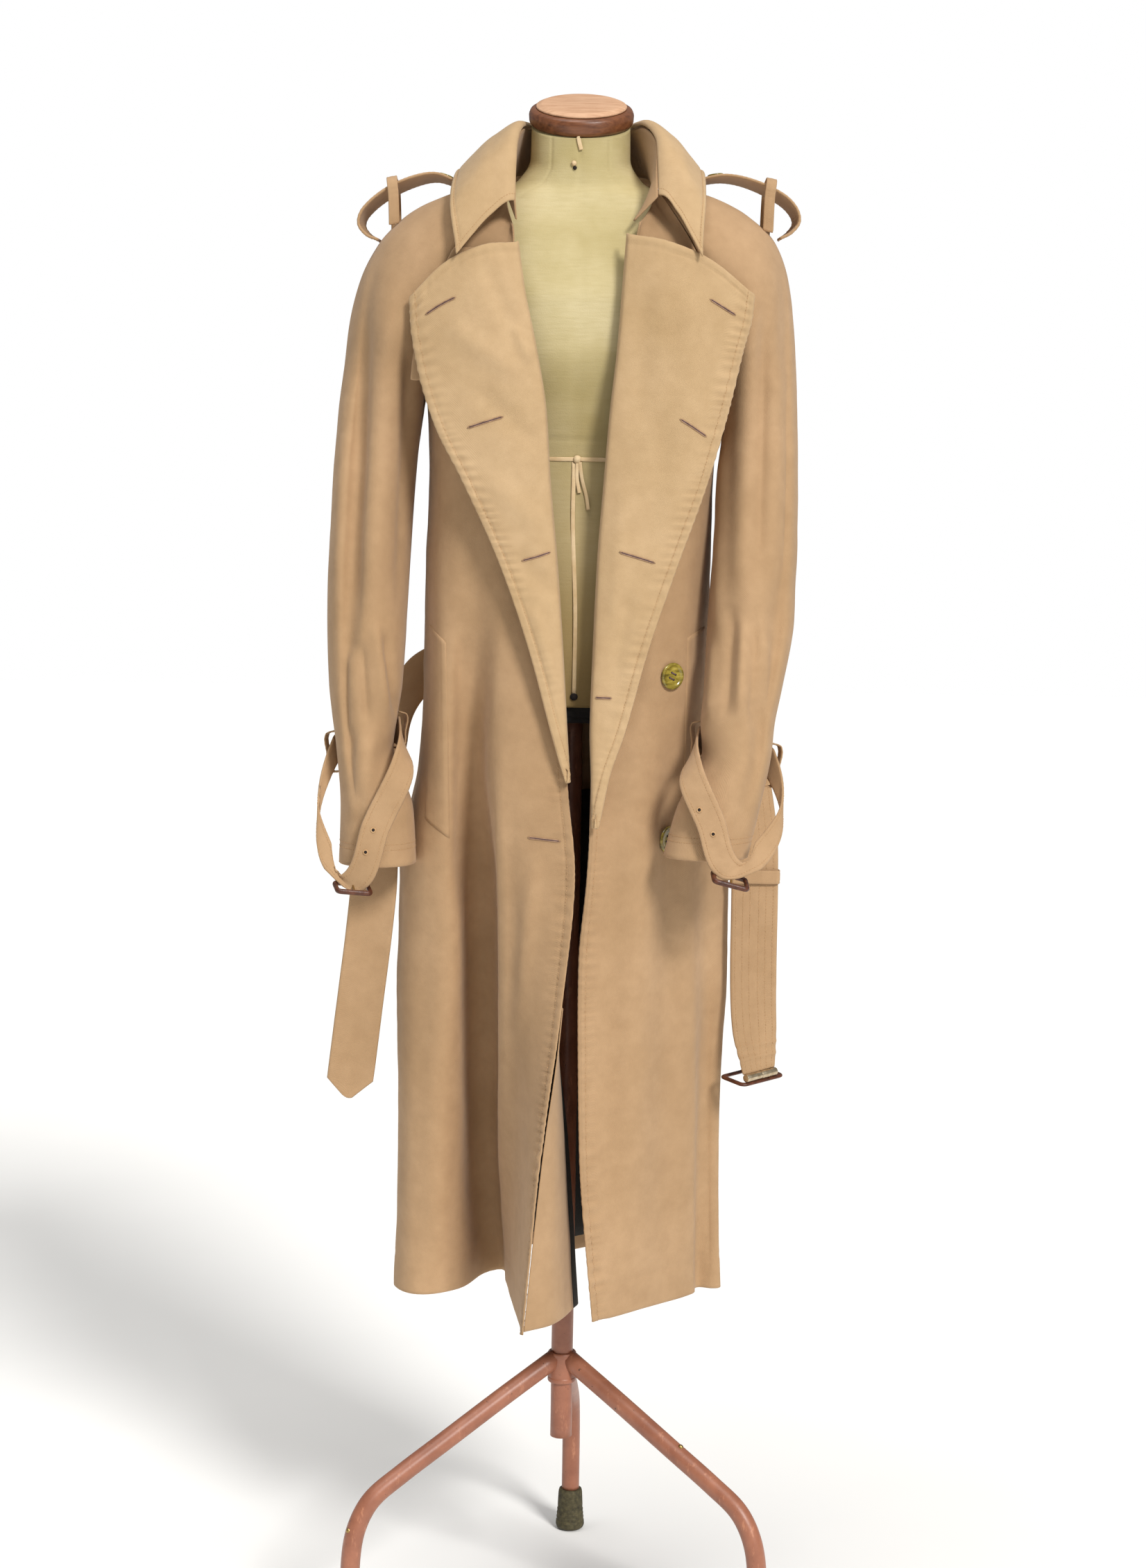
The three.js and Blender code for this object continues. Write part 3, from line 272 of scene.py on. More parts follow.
# Lapels: roll line, outer edge and its height, and how far the cloth between bulges and arches
LAPEL = {
    "right": table("z roll out outZ bulge arch", [
        [1004, [-2.9, -144.9], [-6, -149], 1003, 0, 0], [1060, [-6.9, -139.9], [-22, -146], 1058, 3, 0],
        [1150, [-12.9, -137], [-47, -143], 1146, 4, 0], [1240, [-20, -133], [-80, -137], 1238, 5, 0],
        [1330, [-29, -130], [-121, -130], 1326, 7, 0], [1400, [-34, -129], [-152, -121], 1386, 8, 2],
        [1470, [-46, -126], [-171, -113], 1446, 10, 6], [1530, [-59, -121], [-179, -109], 1492, 11, 12],
        [1582, [-67, -113], [-181, -107], 1521, 9, 17],
    ]),
    "left": table("z roll out outZ bulge arch", [
        [955, [26, -148], [31, -151], 954, 0, 0], [1010, [24, -145], [41, -149], 1008, 3, 0],
        [1060, [22, -141], [57, -146], 1056, 3, 0], [1150, [24, -137], [81, -142], 1146, 4, 0],
        [1240, [27, -133], [111, -136], 1238, 5, 0], [1330, [33, -130], [142, -127], 1328, 7, 0],
        [1400, [38, -128], [162, -120], 1400, 8, 2], [1470, [45, -125], [178, -113], 1470, 10, 4],
        [1530, [49, -121], [187, -109], 1506, 11, 8], [1592, [53, -112], [189, -107], 1529, 9, 14],
    ]),
}
# Collar, from the right front round the neck to the left front
COLLAR = table("t foot roll edge out", [
    [0, [-69, -95, 1607], [-71, -102, 1626], [-130, -129, 1567], 5],
    [0.14, [-80, -62, 1642], [-70, -66, 1688], [-138, -92, 1622], 8],
    [0.28, [-78, 0, 1660], [-62, -8, 1714], [-134, -4, 1661], 8],
    [0.4, [-52, 58, 1668], [-42, 50, 1716], [-92, 88, 1656], 7],
    [0.5, [0, 84, 1670], [0, 72, 1716], [0, 124, 1650], 6],
    [0.6, [52, 58, 1668], [42, 50, 1716], [92, 88, 1658], 7],
    [0.72, [78, 0, 1660], [66, -8, 1717], [136, -4, 1664], 8],
    [0.86, [80, -62, 1642], [84, -62, 1692], [134, -92, 1624], 8],
    [1, [60, -93, 1607], [86, -98, 1634], [131, -129, 1568], 5],
])
# The flap on the right chest
FLAP = table("z inner outer", [
    [1434, [-104, -109.8], [-179, -100]], [1456, [-100, -109.8], [-177, -99]],
    [1520, [-92, -108.6], [-160, -104]], [1575, [-86, -105], [-134, -105]],
])
# Lower facing and its lining, turned back from the edge of the right front
FACING = table("z start crown bend turn end", [
    [398, [-41.5, -178.3], [-10, -150], [12, -92], [16, -66], [-16, -44]],
    [500, [-32.4, -170], [-10, -146], [6, -98], [9, -74], [-22, -50]],
    [600, [-22.4, -164], [-9, -142], [-1, -104], [1, -82], [-30, -60]],
    [700, [-9.4, -157], [-8, -138], [-9, -110], [-14, -92], [-40, -72]],
    [755, [-4.4, -153], [-8, -138], [-15, -116], [-26, -97], [-48, -84]],
])
LINING_BACK = {"low": 412, "high": 960, "inside": 6.3, "clear": 0.12}
WELT_OUT = 1.5        # how far a pocket's flap lies off the front
# Pockets: the corners of each flap, across and up
WELT = {
    "right": {"outerTop": [-160, 1166], "innerTop": [-140, 1149],
              "outerFoot": [-163, 951], "innerFoot": [-134, 930]},
    "left": {"outerTop": [147, 1168], "innerTop": [126, 1158],
             "outerFoot": [154, 945], "innerFoot": [125, 926]},
}
# Shoulder straps: middle line, and the width across it
EPAULETTE = {
    "right": table("at wide", [
        [[-106, -4, 1649.1], [0, 44, 0]], [[-132, -5, 1651.1], [0, 45, -2]],
        [[-158, -6, 1658.6], [0, 46, -5]],
        [[-184, -7, 1653.6], [2, 46, -6]], [[-214, -8, 1639], [3, 46, -6]], [[-237, -9, 1619], [4, 46, -4]],
        [[-242, -10, 1604], [4, 46, 0]], [[-234, -11, 1592], [2, 46, 2]], [[-222, -11, 1586], [0, 46, 1]],
    ]),
    "left": table("at wide", [
        [[106, -4, 1651.2], [0, 44, 0]], [[132, -5, 1658], [0, 45, -2]], [[160, -6, 1662], [0, 46, -4]],
        [[190, -7, 1656], [-2, 46, -5]], [[222, -8, 1641], [-3, 46, -6]], [[237, -9, 1627], [-4, 46, -4]],
        [[241, -10, 1613], [-4, 46, 0]], [[233, -11, 1601], [-2, 46, 2]], [[222, -11, 1594], [0, 46, 1]],
    ]),
}
STRAP_BUTTON = {"share": 0.205, "radius": 9, "thick": 3, "lift": 0.7}
SHOULDER_LOOP = {
    "right": [[-203, -36, 1604], [-204, -36, 1634], [-206, -33, 1652], [-207, -8, 1653], [-206, 18, 1647],
        [-205, 20, 1632], [-204, 20, 1601]],
    "left": [[207, -35, 1602], [208, -36, 1638], [210, -33, 1656], [210, -8, 1657], [209, 18, 1650],
        [208, 20, 1636], [207, 20, 1602]],
}
# A belt loop: share of its half height, and how far it stands off the back
LOOP_SHAPE = [[1, 1.6], [0.86, 9.4], [0, 9.8], [-0.86, 9.4], [-1, 1.6]]
CUFF_LOOPS = {
    "inner": {"s": 0.92, "z": 1046, "foot": 3.5, "halfHeight": 20},
    "outer": {"s": 0.56, "z": 1022, "foot": 0.3, "halfHeight": 22},
}
# Cuff straps behind the sleeve: place round the sleeve, and height
CUFF_BACK = table("s z", [[0.84, 1042], [0.75, 1034], [0.65, 1026]])
STRAP_OUT = 7.6       # how far a cuff strap lies off the sleeve
# Cuff straps where they hang off the sleeve
CUFF_FRONT = {
    "right": table("at wide", [
        [[-281, -78, 958], [0, 10, 28]], [[-266, -106, 912], [6, 16, 24]],
        [[-238, -123, 886.2], [-24, 6, 14]],
        [[-212, -122, 950], [-27, 0, 11]], [[-183, -104, 1016], [-20, -6, 20]],
    ]),
    "left": table("at wide", [
        [[231, -146, 972], [0, 12, 28]], [[202, -187, 932], [-6, 16, 24]],
        [[172, -194, 917.9], [24, 6, 14]],
        [[150, -187, 968], [27, 0, 11]], [[128, -166, 1020], [22, -2, 20]],
    ]),
}
WAIST_Z = 1116
BELT_WIDTH = 50
BELT_OUT = 6.4        # how far the belt lies off the back
BELT_STATIONS = [0.22, 0.36, 0.5, 0.64, 0.78]
BELT_LOOPS = {"side": 0.3, "back": 0.7}
BELT_LOOP = {"halfHeight": 32, "width": 12}
KEEPER = {"x": 210, "y": -22, "z": 884, "halfWidth": 27, "halfThick": 5.8, "height": 14, "corner": 0.35}
BELT_FRAME = {"long": 66, "short": 42, "rim": 6, "thick": 4}
CUFF_FRAME = {"long": 42, "short": 32, "rim": 5, "thick": 3.5}
BELT_LONG = [0.77, 0.63, 0.06]
BELT_SHORT = [-0.42, 0.9, 0.1]
ROLLER = {"radius": 4.5, "length": 46}
# Dress form: half its width, its depth in front and behind, and how far the section leans
FORM = table("z half front back lean", [
    [1080, 126, 97, 104, 0], [1150, 132, 100, 106, 0], [1230, 130, 98, 98, 0], [1300, 118, 90, 86, 0],
    [1353, 114, 87, 82, 0], [1410, 124, 94, 88, 0], [1470, 142, 104, 98, 0], [1520, 152, 104, 104, 0],
    [1560, 156, 94, 102, 0], [1590, 152, 82, 96, 0], [1615, 138, 70, 84, 0], [1635, 111, 62, 70, 0],
    [1655, 69.5, 56, 60, 0.1], [1680, 55, 54, 52, 0.22], [1716, 54.4, 52, 50, 0.36],
])
FORM_FULLNESS = 0.86  # below 1 squares the section off
FORM_BASE = {"share": 0.93, "low": 1062, "gap": 0.3}
CAP_AXIS = [0, -0.345, 0.94]
CAP_FOOT = [0.5, -0.6, 1716.9]
CAP_HEIGHT = 19
CAP_RING = [[0, 0], [54, 0], [57.5, 4], [58, 12], [56, 17], [52, CAP_HEIGHT], [0, CAP_HEIGHT]]
CAP_TOP = [[0, 0], [50, 0], [50, 2], [44, 4.5], [0, 6]]
POST_FOOT_Z = 216
# The legs' headings in degrees
LEGS = {"back": 87.2, "right": 207.2, "left": 327.2}
LEG_TUBE = 11
# Each leg's line: distance from the post, and height
LEG_BEND = table("r z", [
    [22.2, 303], [80, 271], [150, 231], [206, 199], [240, 176], [258, 146], [LEG_RADIUS, 108],
    [LEG_RADIUS, FOOT_HEIGHT + 0.4],
])


# The coat's drawn surfaces, each a function of its position across and down
def seam(which, side, z):
    """A point on a side seam, or above the underarm on the raglan seam."""
    if z <= UNDERARM_Z:
        return read(SIDE_SEAM[side], "at", z)
    x, y = read(RAGLAN[which], "at", z)
    low = read(SIDE_SEAM[side], "at", UNDERARM_Z)[0]
    drawn = RAGLAN[which][0]["at"][0]
    settle = min((z - UNDERARM_Z) / 60, 1)
    return np.array([SIGN[side] * x + (low - SIGN[side] * drawn) * (1 - settle), y])


def back_quarter(side, z):
    """A point on the back, halfway from the side seam to the middle."""
    x, y = read(BACK, "quarter", z)
    return np.array([-SIGN[side] * x, y])


def front_rows(side):
    """A front, from its side seam to its front edge, hem to neck."""
    def row(u, v):
        z = HEM_Z + v * (NECK_Z - HEM_Z)
        middle = [read(FRONT[side], name, z) for name in FRONT_COLUMNS]
        flat = along([seam("front", side, z), *middle], u, back_quarter(side, z))
        return np.column_stack([flat, z - u * read(FRONT[side], "drop", z)])
    return row


def back_rows(side):
    """Half of the back, from its side seam to the middle, in waves."""
    def row(u, v):
        z = HEM_Z + v * (BACK_NECK_Z - HEM_Z)
        quarter = back_quarter(side, z)
        middle = np.array([0, read(BACK, "middle", z)])
        after = np.array([-quarter[0], quarter[1]])
        before = read(FRONT[side], "side", z)
        flat = along([seam("back", side, z), quarter, middle], u, before, after)
        wave = read(BACK, "wave", z) * smooth(u / 0.3) * np.cos(2 * math.pi * BACK_WAVES * u)
        flat = flat + unit(flat) * wave[:, None]
        return np.column_stack([flat, np.full(len(u), z)])
    return row


def sleeve_section(side, level):
    """Both ends, ridge, depth and lift of a sleeve's section, in its arm or its cap."""
    if "z" in level:
        def arm(column):
            return read(ARM[side], column, level["z"])
        inner = np.array([arm("inner"), arm("y"), level["z"]])
        ridge = np.array([arm("outer"), arm("y"), level["z"]])
        return inner, inner, ridge, arm("depth"), 0
    t = level["t"]
    z = read(CAP[side], "z", t, "t")
    ridge = read(CAP[side], "ridge", t, "t")

    def end(which):
        point = np.array([*seam(which, side, z), z])
        return point + unit(ridge - point) * RAGLAN_GAP * (1 - (t == 0))

    return end("front"), end("back"), ridge, read(CAP[side], "depth", t, "t"), read(CAP[side], "lift", t, "t")


def sleeve_rows(side):
    """A sleeve: s runs once round it, and v down it."""
    def row(s, v):
        if v < CAP_SHARE:
            level = {"t": 1 - v / CAP_SHARE}
        else:
            share = (v - CAP_SHARE) / (1 - CAP_SHARE)
            level = {"z": UNDERARM_Z - share * (UNDERARM_Z - CUFF_Z[side])}
        front, back, ridge, depth, lift = sleeve_section(side, level)
        ahead = (s <= 0.5)[:, None]
        angle = 2 * math.pi * np.where(s <= 0.5, s, s - 0.5)
        groove = GROOVE[side]
        hang = min(max((v - 0.15) / 0.25, 0), 1) * min((1 - v) / 0.2, 1)
        dent = groove["deep"] * hang * np.exp(-(((s - groove["s"]) / groove["width"]) ** 2))
        start = np.where(ahead, front, ridge)
        stop = np.where(ahead, ridge, back)
        middle = start + (stop - start) * ((1 - np.cos(angle)) / 2)[:, None]
        deep = np.where(s <= 0.5, -1, 1) * depth * np.sin(angle)
        bulge = lift * np.sin(angle) ** 2
        return middle + np.column_stack([-SIGN[side] * bulge, deep + dent, bulge * 0.6])
    return row


def lapel_rows(side):
    """A lapel, from its roll line to its outer edge."""
    rows = LAPEL[side]

    def row(u, v):
        z = height_in(rows, v)
        roll_x, roll_y = read(rows, "roll", z)
        out_x, out_y = read(rows, "out", z)
        out_z, bulge, arch = (read(rows, name, z) for name in ("outZ", "bulge", "arch"))

        def point(k, forward, up):
            return [roll_x + k * (out_x - roll_x), roll_y + k * (out_y - roll_y) - forward,
                    z + k * (out_z - z) + up]

        turn = min(0.05, 3 / abs(out_x - roll_x))
        return along([point(0, -LAPEL_TURN, 0), point(turn, 1, 0), point(0.3, bulge, arch * 0.8),
                      point(0.65, bulge * 0.8, arch), point(1, 0, 0)], u)
    return row


def collar_stand_rows(u, t):
    """The collar's stand, from the neck up to the roll."""
    foot, roll = read(COLLAR, "foot", t, "t"), read(COLLAR, "roll", t, "t")
    return foot + (roll - foot) * (0.95 * u - 0.014)[:, None]


def collar_fall_rows(u, t):
    """The collar's fall, from the roll down to its edge."""
    foot, roll, edge = (read(COLLAR, name, t, "t") for name in ("foot", "roll", "edge"))
    away = unit([edge[0] - roll[0], edge[1] - roll[1], 0])
    out = read(COLLAR, "out", t, "t")
    shoulder = roll + 0.3 * (edge - roll) + away * out + [0, 0, out * 0.6]
    lower = roll + 0.7 * (edge - roll) + away * out * 0.5 + [0, 0, out * 0.4]
    return along([roll, shoulder, lower, edge], u, foot)


def facing_rows(u, v):
    """The lower facing, and its lining beyond the turn."""
    z = height_in(FACING, v)
    flat = along([read(FACING, name, z) for name in ("start", "crown", "bend", "turn", "end")], u)
    return np.column_stack([flat, np.full(len(u), z)])


def flap_rows(u, v):
    """The chest flap, flat between two lines."""
    z = height_in(FLAP, v)
    inner, outer = read(FLAP, "inner", z), read(FLAP, "outer", z)
    flat = inner + (outer - inner) * u[:, None]
    return np.column_stack([flat, np.full(len(u), z)])


def lining_back_rows(u, v):
    """The lining, a little inside the back."""
    z = LINING_BACK["low"] + v * (LINING_BACK["high"] - LINING_BACK["low"])
    height = (z - HEM_Z) / (BACK_NECK_Z - HEM_Z)
    part = LINING_BACK["clear"] + (1 - LINING_BACK["clear"]) * (1 - np.abs(2 * u - 1))
    right = back_rows("right")(part, height)
    left = back_rows("left")(part, height)
    flat = np.where((u < 0.5)[:, None], right, left)[:, :2]
    inward = unit(flat - [0, 20])
    return np.column_stack([flat - inward * LINING_BACK["inside"], np.full(len(u), z)])


def ribbon(rows, closed=False):
    """A strap through the places of a table, with its width at each."""
    places = np.array([row["at"] for row in rows], float)
    widths = np.array([row["wide"] for row in rows], float)

    def row(u, v):
        if closed:
            line = along([*places, places[0]], u, places[-1], places[1])
            width = along([*widths, widths[0]], u, widths[-1], widths[1])
        else:
            line, width = along(places, u), along(widths, u)
        return line + width * (v - 0.5)
    return row


# The photograph's camera, for placing small things where they are seen
CAMERA = {"at": np.array([2.5, -3200.0, 1382.0]), "pitch": math.radians(7.1), "roll": 0.0154, "focal": 4092.0}
PHOTO = (1652, 2261)


def seen(points):
    """Where points show in the photograph, in its pixels."""
    rel = np.asarray(points, float) - CAMERA["at"]
    cos, sin = math.cos(CAMERA["pitch"]), math.sin(CAMERA["pitch"])
    depth = rel[..., 1] * cos - rel[..., 2] * sin
    up = rel[..., 1] * sin + rel[..., 2] * cos
    x, y = rel[..., 0] * CAMERA["focal"] / depth, -up * CAMERA["focal"] / depth
    cos, sin = math.cos(CAMERA["roll"]), math.sin(CAMERA["roll"])
    return np.stack([PHOTO[0] / 2 + x * cos - y * sin, PHOTO[1] / 2 + x * sin + y * cos], -1)


# Smooth noise, the same on each run
def lattice(cells, seed):
    """A scattered value from 0 to 1 for each cell."""
    a, b, c = cells[..., 0], cells[..., 1], cells[..., 2]
    mixed = np.sin(a * 127.1 + b * 311.7 + c * 74.7 + seed * 53.3) * 43758.5453
    return mixed - np.floor(mixed)


def noise(points, size, seed=0):
    """Values from -1 to 1 that change over about size millimetres."""
    place = np.asarray(points, float) / size
    base = np.floor(place)
    part = place - base
    part = part * part * (3 - 2 * part)
    total = 0
    for corner in np.ndindex(2, 2, 2):
        weight = np.prod(np.where(corner, part, 1 - part), axis=-1)
        total = total + weight * lattice(base + corner, seed)
    return 2 * total - 1


def noise_line(s, size, seed=0):
    """The same noise along one length."""
    return noise(np.stack([s, np.zeros_like(s), np.zeros_like(s)], -1), size, seed)


class Panel:
    """A panel of cloth: a grid of points, its normals, and the distances along it."""
    def __init__(self, rows, us, vs, outward, relief=None, closed=False):
        self.us, self.vs, self.closed, self.outward = us, vs, closed, outward
        self.grid = np.array([rows(us, v) for v in vs])
        self.measure()
        if relief is not None:
            self.grid = self.grid + self.normal * relief(self)[..., None]
            self.measure()

    def measure(self):
        """Normals, and the length along each line of the grid."""
        grid = self.grid
        if self.closed:
            wrapped = np.concatenate([grid[:, -2:-1], grid, grid[:, 1:2]], axis=1)
            du = (wrapped[:, 2:] - wrapped[:, :-2]) / 2
        else:
            du = np.gradient(grid, axis=1)
        self.normal = unit(np.cross(du, np.gradient(grid, axis=0))) * self.outward
        steps = np.linalg.norm(np.diff(grid, axis=1), axis=2)
        self.across = np.concatenate([np.zeros((len(grid), 1)), np.cumsum(steps, axis=1)], axis=1)
        steps = np.linalg.norm(np.diff(grid, axis=0), axis=2)
        self.down = np.concatenate([np.zeros((1, grid.shape[1])), np.cumsum(steps, axis=0)], axis=0)

    def place(self, u, v, out=0.0):
        """Points on the finished cloth at u, v, moved outwards."""
        u, v = np.broadcast_arrays(np.asarray(u, float), np.asarray(v, float))
        i = np.interp(u, self.us, np.arange(len(self.us)))
        j = np.interp(v, self.vs, np.arange(len(self.vs)))
        i0 = np.minimum(i.astype(int), len(self.us) - 2)
        j0 = np.minimum(j.astype(int), len(self.vs) - 2)
        a, b = (i - i0)[..., None], (j - j0)[..., None]

        def blend(grid):
            low = grid[j0, i0] * (1 - a) + grid[j0, i0 + 1] * a
            high = grid[j0 + 1, i0] * (1 - a) + grid[j0 + 1, i0 + 1] * a
            return low * (1 - b) + high * b
        return blend(self.grid) + unit(blend(self.normal)) * out

    def normal_at(self, u, v):
        """The direction that the cloth faces at u, v."""
        return unit(self.place(u, v, 1.0) - self.place(u, v))

    def find(self, px, py, view=seen):
        """The u and v of the place that shows at a pixel of the photograph, or at a place in another view."""
        pixels = view(self.grid)
        gap = np.hypot(pixels[..., 0] - px, pixels[..., 1] - py)
        gap = np.where(self.normal[..., 1] < 0.2, gap, gap + 500)
        j, i = np.unravel_index(np.argmin(gap), gap.shape)
        i, j = min(max(i, 1), len(self.us) - 2), min(max(j, 1), len(self.vs) - 2)
        du = (pixels[j, i + 1] - pixels[j, i - 1]) / (self.us[i + 1] - self.us[i - 1])
        dv = (pixels[j + 1, i] - pixels[j - 1, i]) / (self.vs[j + 1] - self.vs[j - 1])
        step = np.linalg.lstsq(np.column_stack([du, dv]), np.array([px, py]) - pixels[j, i], rcond=None)[0]
        return (float(np.clip(self.us[i] + step[0], self.us[0], self.us[-1])),
                float(np.clip(self.vs[j] + step[1], self.vs[0], self.vs[-1])))

    def inset(self, distance, edge, out=0.0, start=0.0, stop=1.0):
        """A line of points that keeps its distance from one edge: u0, u1, v0 or v1."""
        rows = edge[0] == "u"
        length = self.across if rows else self.down
        count = len(self.vs) if rows else len(self.us)
        found = []
        for k in range(int(start * (count - 1)), int(stop * (count - 1)) + 1):
            run = length[k] if rows else length[:, k]
            target = distance if edge[1] == "0" else run[-1] - distance
            if rows:
                found.append((np.interp(target, run, self.us), self.vs[k]))
            else:
                found.append((self.us[k], np.interp(target, run, self.vs)))
        u, v = np.array(found).T
        return self.place(u, v, out)


def spread(low, high, count, dense=()):
    """Even steps from low to high, with closer steps near the places in dense."""
    x = np.linspace(low, high, 2000)
    weight = np.ones_like(x)
    for centre, width, amount in dense:
        weight += amount * np.exp(-(((x - centre) / width) ** 2))
    total = np.concatenate([[0], np.cumsum((weight[1:] + weight[:-1]) / 2)])
    return np.interp(np.linspace(0, total[-1], count), total, x)


# Making meshes
def to_world(points):
    """Millimetres round the post, as metres in the frame."""
    return np.asarray(points, float) / 1000 + SHIFT


def finish_object(name, mesh, material):
    """The object of a finished mesh, on the part's one body."""
    mesh.shade_smooth()
    piece = bpy.data.objects.new(name, mesh)
    bpy.context.scene.collection.objects.link(piece)
    if material:
        mesh.materials.append(material)
    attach(piece, "root")
    return piece


def stand_in(piece, node):
    """Puts a piece in place of its solid, by hiding the solid."""
    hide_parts(node)


def small(piece):
    """A small piece that has no solid."""
    return piece


def shell(name, panel, thickness, material, edge=0.45):
    """A closed piece of cloth: the panel, the panel moved back, and a rim that bulges by edge."""
    outer = panel.grid
    if panel.closed:
        outer = outer[:, :-1]
        normal = panel.normal[:, :-1]
    else:
        normal = panel.normal
    inner = outer - normal * thickness
    high, wide = outer.shape[:2]
    index = np.arange(high * wide).reshape(high, wide)
    back = index + high * wide
    if panel.closed:
        right = np.roll(index, -1, axis=1)
        faces = [np.stack([index[:-1], right[:-1], right[1:], index[1:]], -1).reshape(-1, 4)]
        loops = [(index[0], index[1]), (index[-1][::-1], index[-2][::-1])]
    else:
        corners = [index[:-1, :-1], index[:-1, 1:], index[1:, 1:], index[1:, :-1]]
        faces = [np.stack(corners, -1).reshape(-1, 4)]
        rim = np.concatenate([index[0, :-1], index[:-1, -1], index[-1, :0:-1], index[:0:-1, 0]])
        near = np.concatenate([index[1, :-1], index[:-1, -2], index[-2, :0:-1], index[:0:-1, 1]])
        loops = [(rim, near)]
    faces.append(faces[0][:, ::-1] + high * wide)
    points = [outer.reshape(-1, 3), inner.reshape(-1, 3)]
    count = 2 * high * wide
    flat_outer, flat_inner = points
    for rim, near in loops:
        away = unit(flat_outer[rim] - flat_outer[near])
        middle = (flat_outer[rim] + flat_inner[rim]) / 2 + away * thickness * edge
        points.append(middle)
        mid = count + np.arange(len(rim))
        count += len(rim)
        following, mid_following = np.roll(rim, -1), np.roll(mid, -1)
        faces.append(np.stack([following, rim, mid, mid_following], -1))
        faces.append(np.stack([mid_following, mid, rim + high * wide, following + high * wide], -1))
    points, faces = np.vstack(points), np.vstack(faces)
    corners = points[faces]
    volume = np.einsum("ij,ij->", corners[:, 0], np.cross(corners[:, 1], corners[:, 2]))
    volume += np.einsum("ij,ij->", corners[:, 0], np.cross(corners[:, 2], corners[:, 3]))
    if volume < 0:
        faces = faces[:, ::-1]
    mesh = bpy.data.meshes.new(name)
    mesh.from_pydata(to_world(points).tolist(), [], faces.tolist())
    u_length = panel.across[:, :wide].reshape(-1)
    v_length = panel.down[:, :wide].reshape(-1)
    rims = np.concatenate([rim for rim, near in loops])
    uv = np.column_stack([u_length, v_length])
    uv = np.vstack([uv, uv, uv[rims]]) / 1000
    layer = mesh.uv_layers.new(name="cloth")
    layer.data.foreach_set("uv", uv[faces.reshape(-1)].reshape(-1))
    return finish_object(name, mesh, material)


def skin(name, rings, material, cap=True, closed=True):
    """A solid through rings of points; each ring has the same number of points."""
    rings = np.asarray(rings, float)
    high, wide = rings.shape[:2]
    bm = bmesh.new()
    rows = [[bm.verts.new(point) for point in ring] for ring in to_world(rings).tolist()]
    last = wide if closed else wide - 1
    for low, up in zip(rows, rows[1:]):
        for i in range(last):
            bm.faces.new([low[i], low[(i + 1) % wide], up[(i + 1) % wide], up[i]])
    if cap:
        bm.faces.new(rows[0][::-1])
        bm.faces.new(rows[-1])
    bmesh.ops.recalc_face_normals(bm, faces=bm.faces)
    mesh = bpy.data.meshes.new(name)
    bm.to_mesh(mesh)
    bm.free()
    return finish_object(name, mesh, material)


def frames(path, closed=False):
    """Two directions square to a path at each point, turning as little as possible."""
    path = np.asarray(path, float)
    if closed:
        tangent = unit(np.roll(path, -1, axis=0) - np.roll(path, 1, axis=0))
    else:
        tangent = unit(np.gradient(path, axis=0))
    first = np.cross(tangent[0], [0, 0, 1])
    if np.linalg.norm(first) < 0.1:
        first = np.cross(tangent[0], [1, 0, 0])
    side = [unit(first)]
    for direction in tangent[1:]:
        side.append(unit(side[-1] - direction * np.dot(side[-1], direction)))
    side = np.array(side)
    return side, np.cross(tangent, side)


def tube_rings(path, radius, sides=12, closed=False, flat=1.0):
    """Rings of points round a path; flat squashes them one way."""
    side, up = frames(path, closed)
    angle = circle(sides)
    radius = np.broadcast_to(np.asarray(radius, float), len(path))
    ring = np.cos(angle)[None, :, None] * side[:, None] + flat * np.sin(angle)[None, :, None] * up[:, None]
    return np.asarray(path)[:, None] + ring * radius[:, None, None]


def tube(name, path, radius, material, sides=12, closed=False, flat=1.0):
    """A solid tube along a path, or a closed ring of it."""
    rings = tube_rings(path, radius, sides, closed, flat)
    if closed:
        rings = np.concatenate([rings, rings[:1]])
    piece = skin(name, rings, material, cap=not closed)
    if closed:
        weld(piece)
    return piece


def weld(piece, distance=1e-6):
    """Joins the points that meet, with every face outwards."""
    bm = bmesh.new()
    bm.from_mesh(piece.data)
    bmesh.ops.remove_doubles(bm, verts=bm.verts, dist=distance)
    bmesh.ops.recalc_face_normals(bm, faces=bm.faces)
    bm.to_mesh(piece.data)
    bm.free()


def turned(name, profile, place, axis, material, sides=64, wobble=None):
    """A closed profile of radius and height spun round an axis."""
    axis = unit(axis)
    turn = np.array(Vector((0, 0, 1)).rotation_difference(Vector(axis)).to_matrix())
    profile = np.array(profile, float)
    angle = circle(sides)
    rings = []
    for radius, height in profile:
        reach = np.full(sides, radius) if wobble is None else radius + wobble(angle, radius, height)
        ring = np.column_stack([reach * np.cos(angle), reach * np.sin(angle), np.full(sides, height)])
        rings.append(ring @ turn.T + place)
    return skin(name, rings, material)


def rounded(profile, radius=0.8, steps=4):
    """The profile with its corners cut round."""
    profile = [np.array(point, float) for point in profile]
    result = [profile[0]]
    for before, corner, after in zip(profile, profile[1:], profile[2:]):
        cut = min(radius, 0.45 * np.linalg.norm(corner - before), 0.45 * np.linalg.norm(after - corner))
        start, stop = corner + unit(before - corner) * cut, corner + unit(after - corner) * cut
        for t in np.linspace(0, 1, steps):
            result.append((1 - t) ** 2 * start + 2 * t * (1 - t) * corner + t * t * stop)
    return [*result, profile[-1]]


# Materials. Colours are sRGB hex values, and patterns are sized from real threads, grain and wear.
def linear(code):
    """A hex colour as linear red, green, blue and 1."""
    values = [int(code[i:i + 2], 16) / 255 for i in (0, 2, 4)]
    return [*(v / 12.92 if v <= 0.04045 else ((v + 0.055) / 1.055) ** 2.4 for v in values), 1]


MIX_SHARE, MIX_FIRST, MIX_SECOND, MIX_RESULT = 0, 6, 7, 2      # the Mix node's sockets for colours


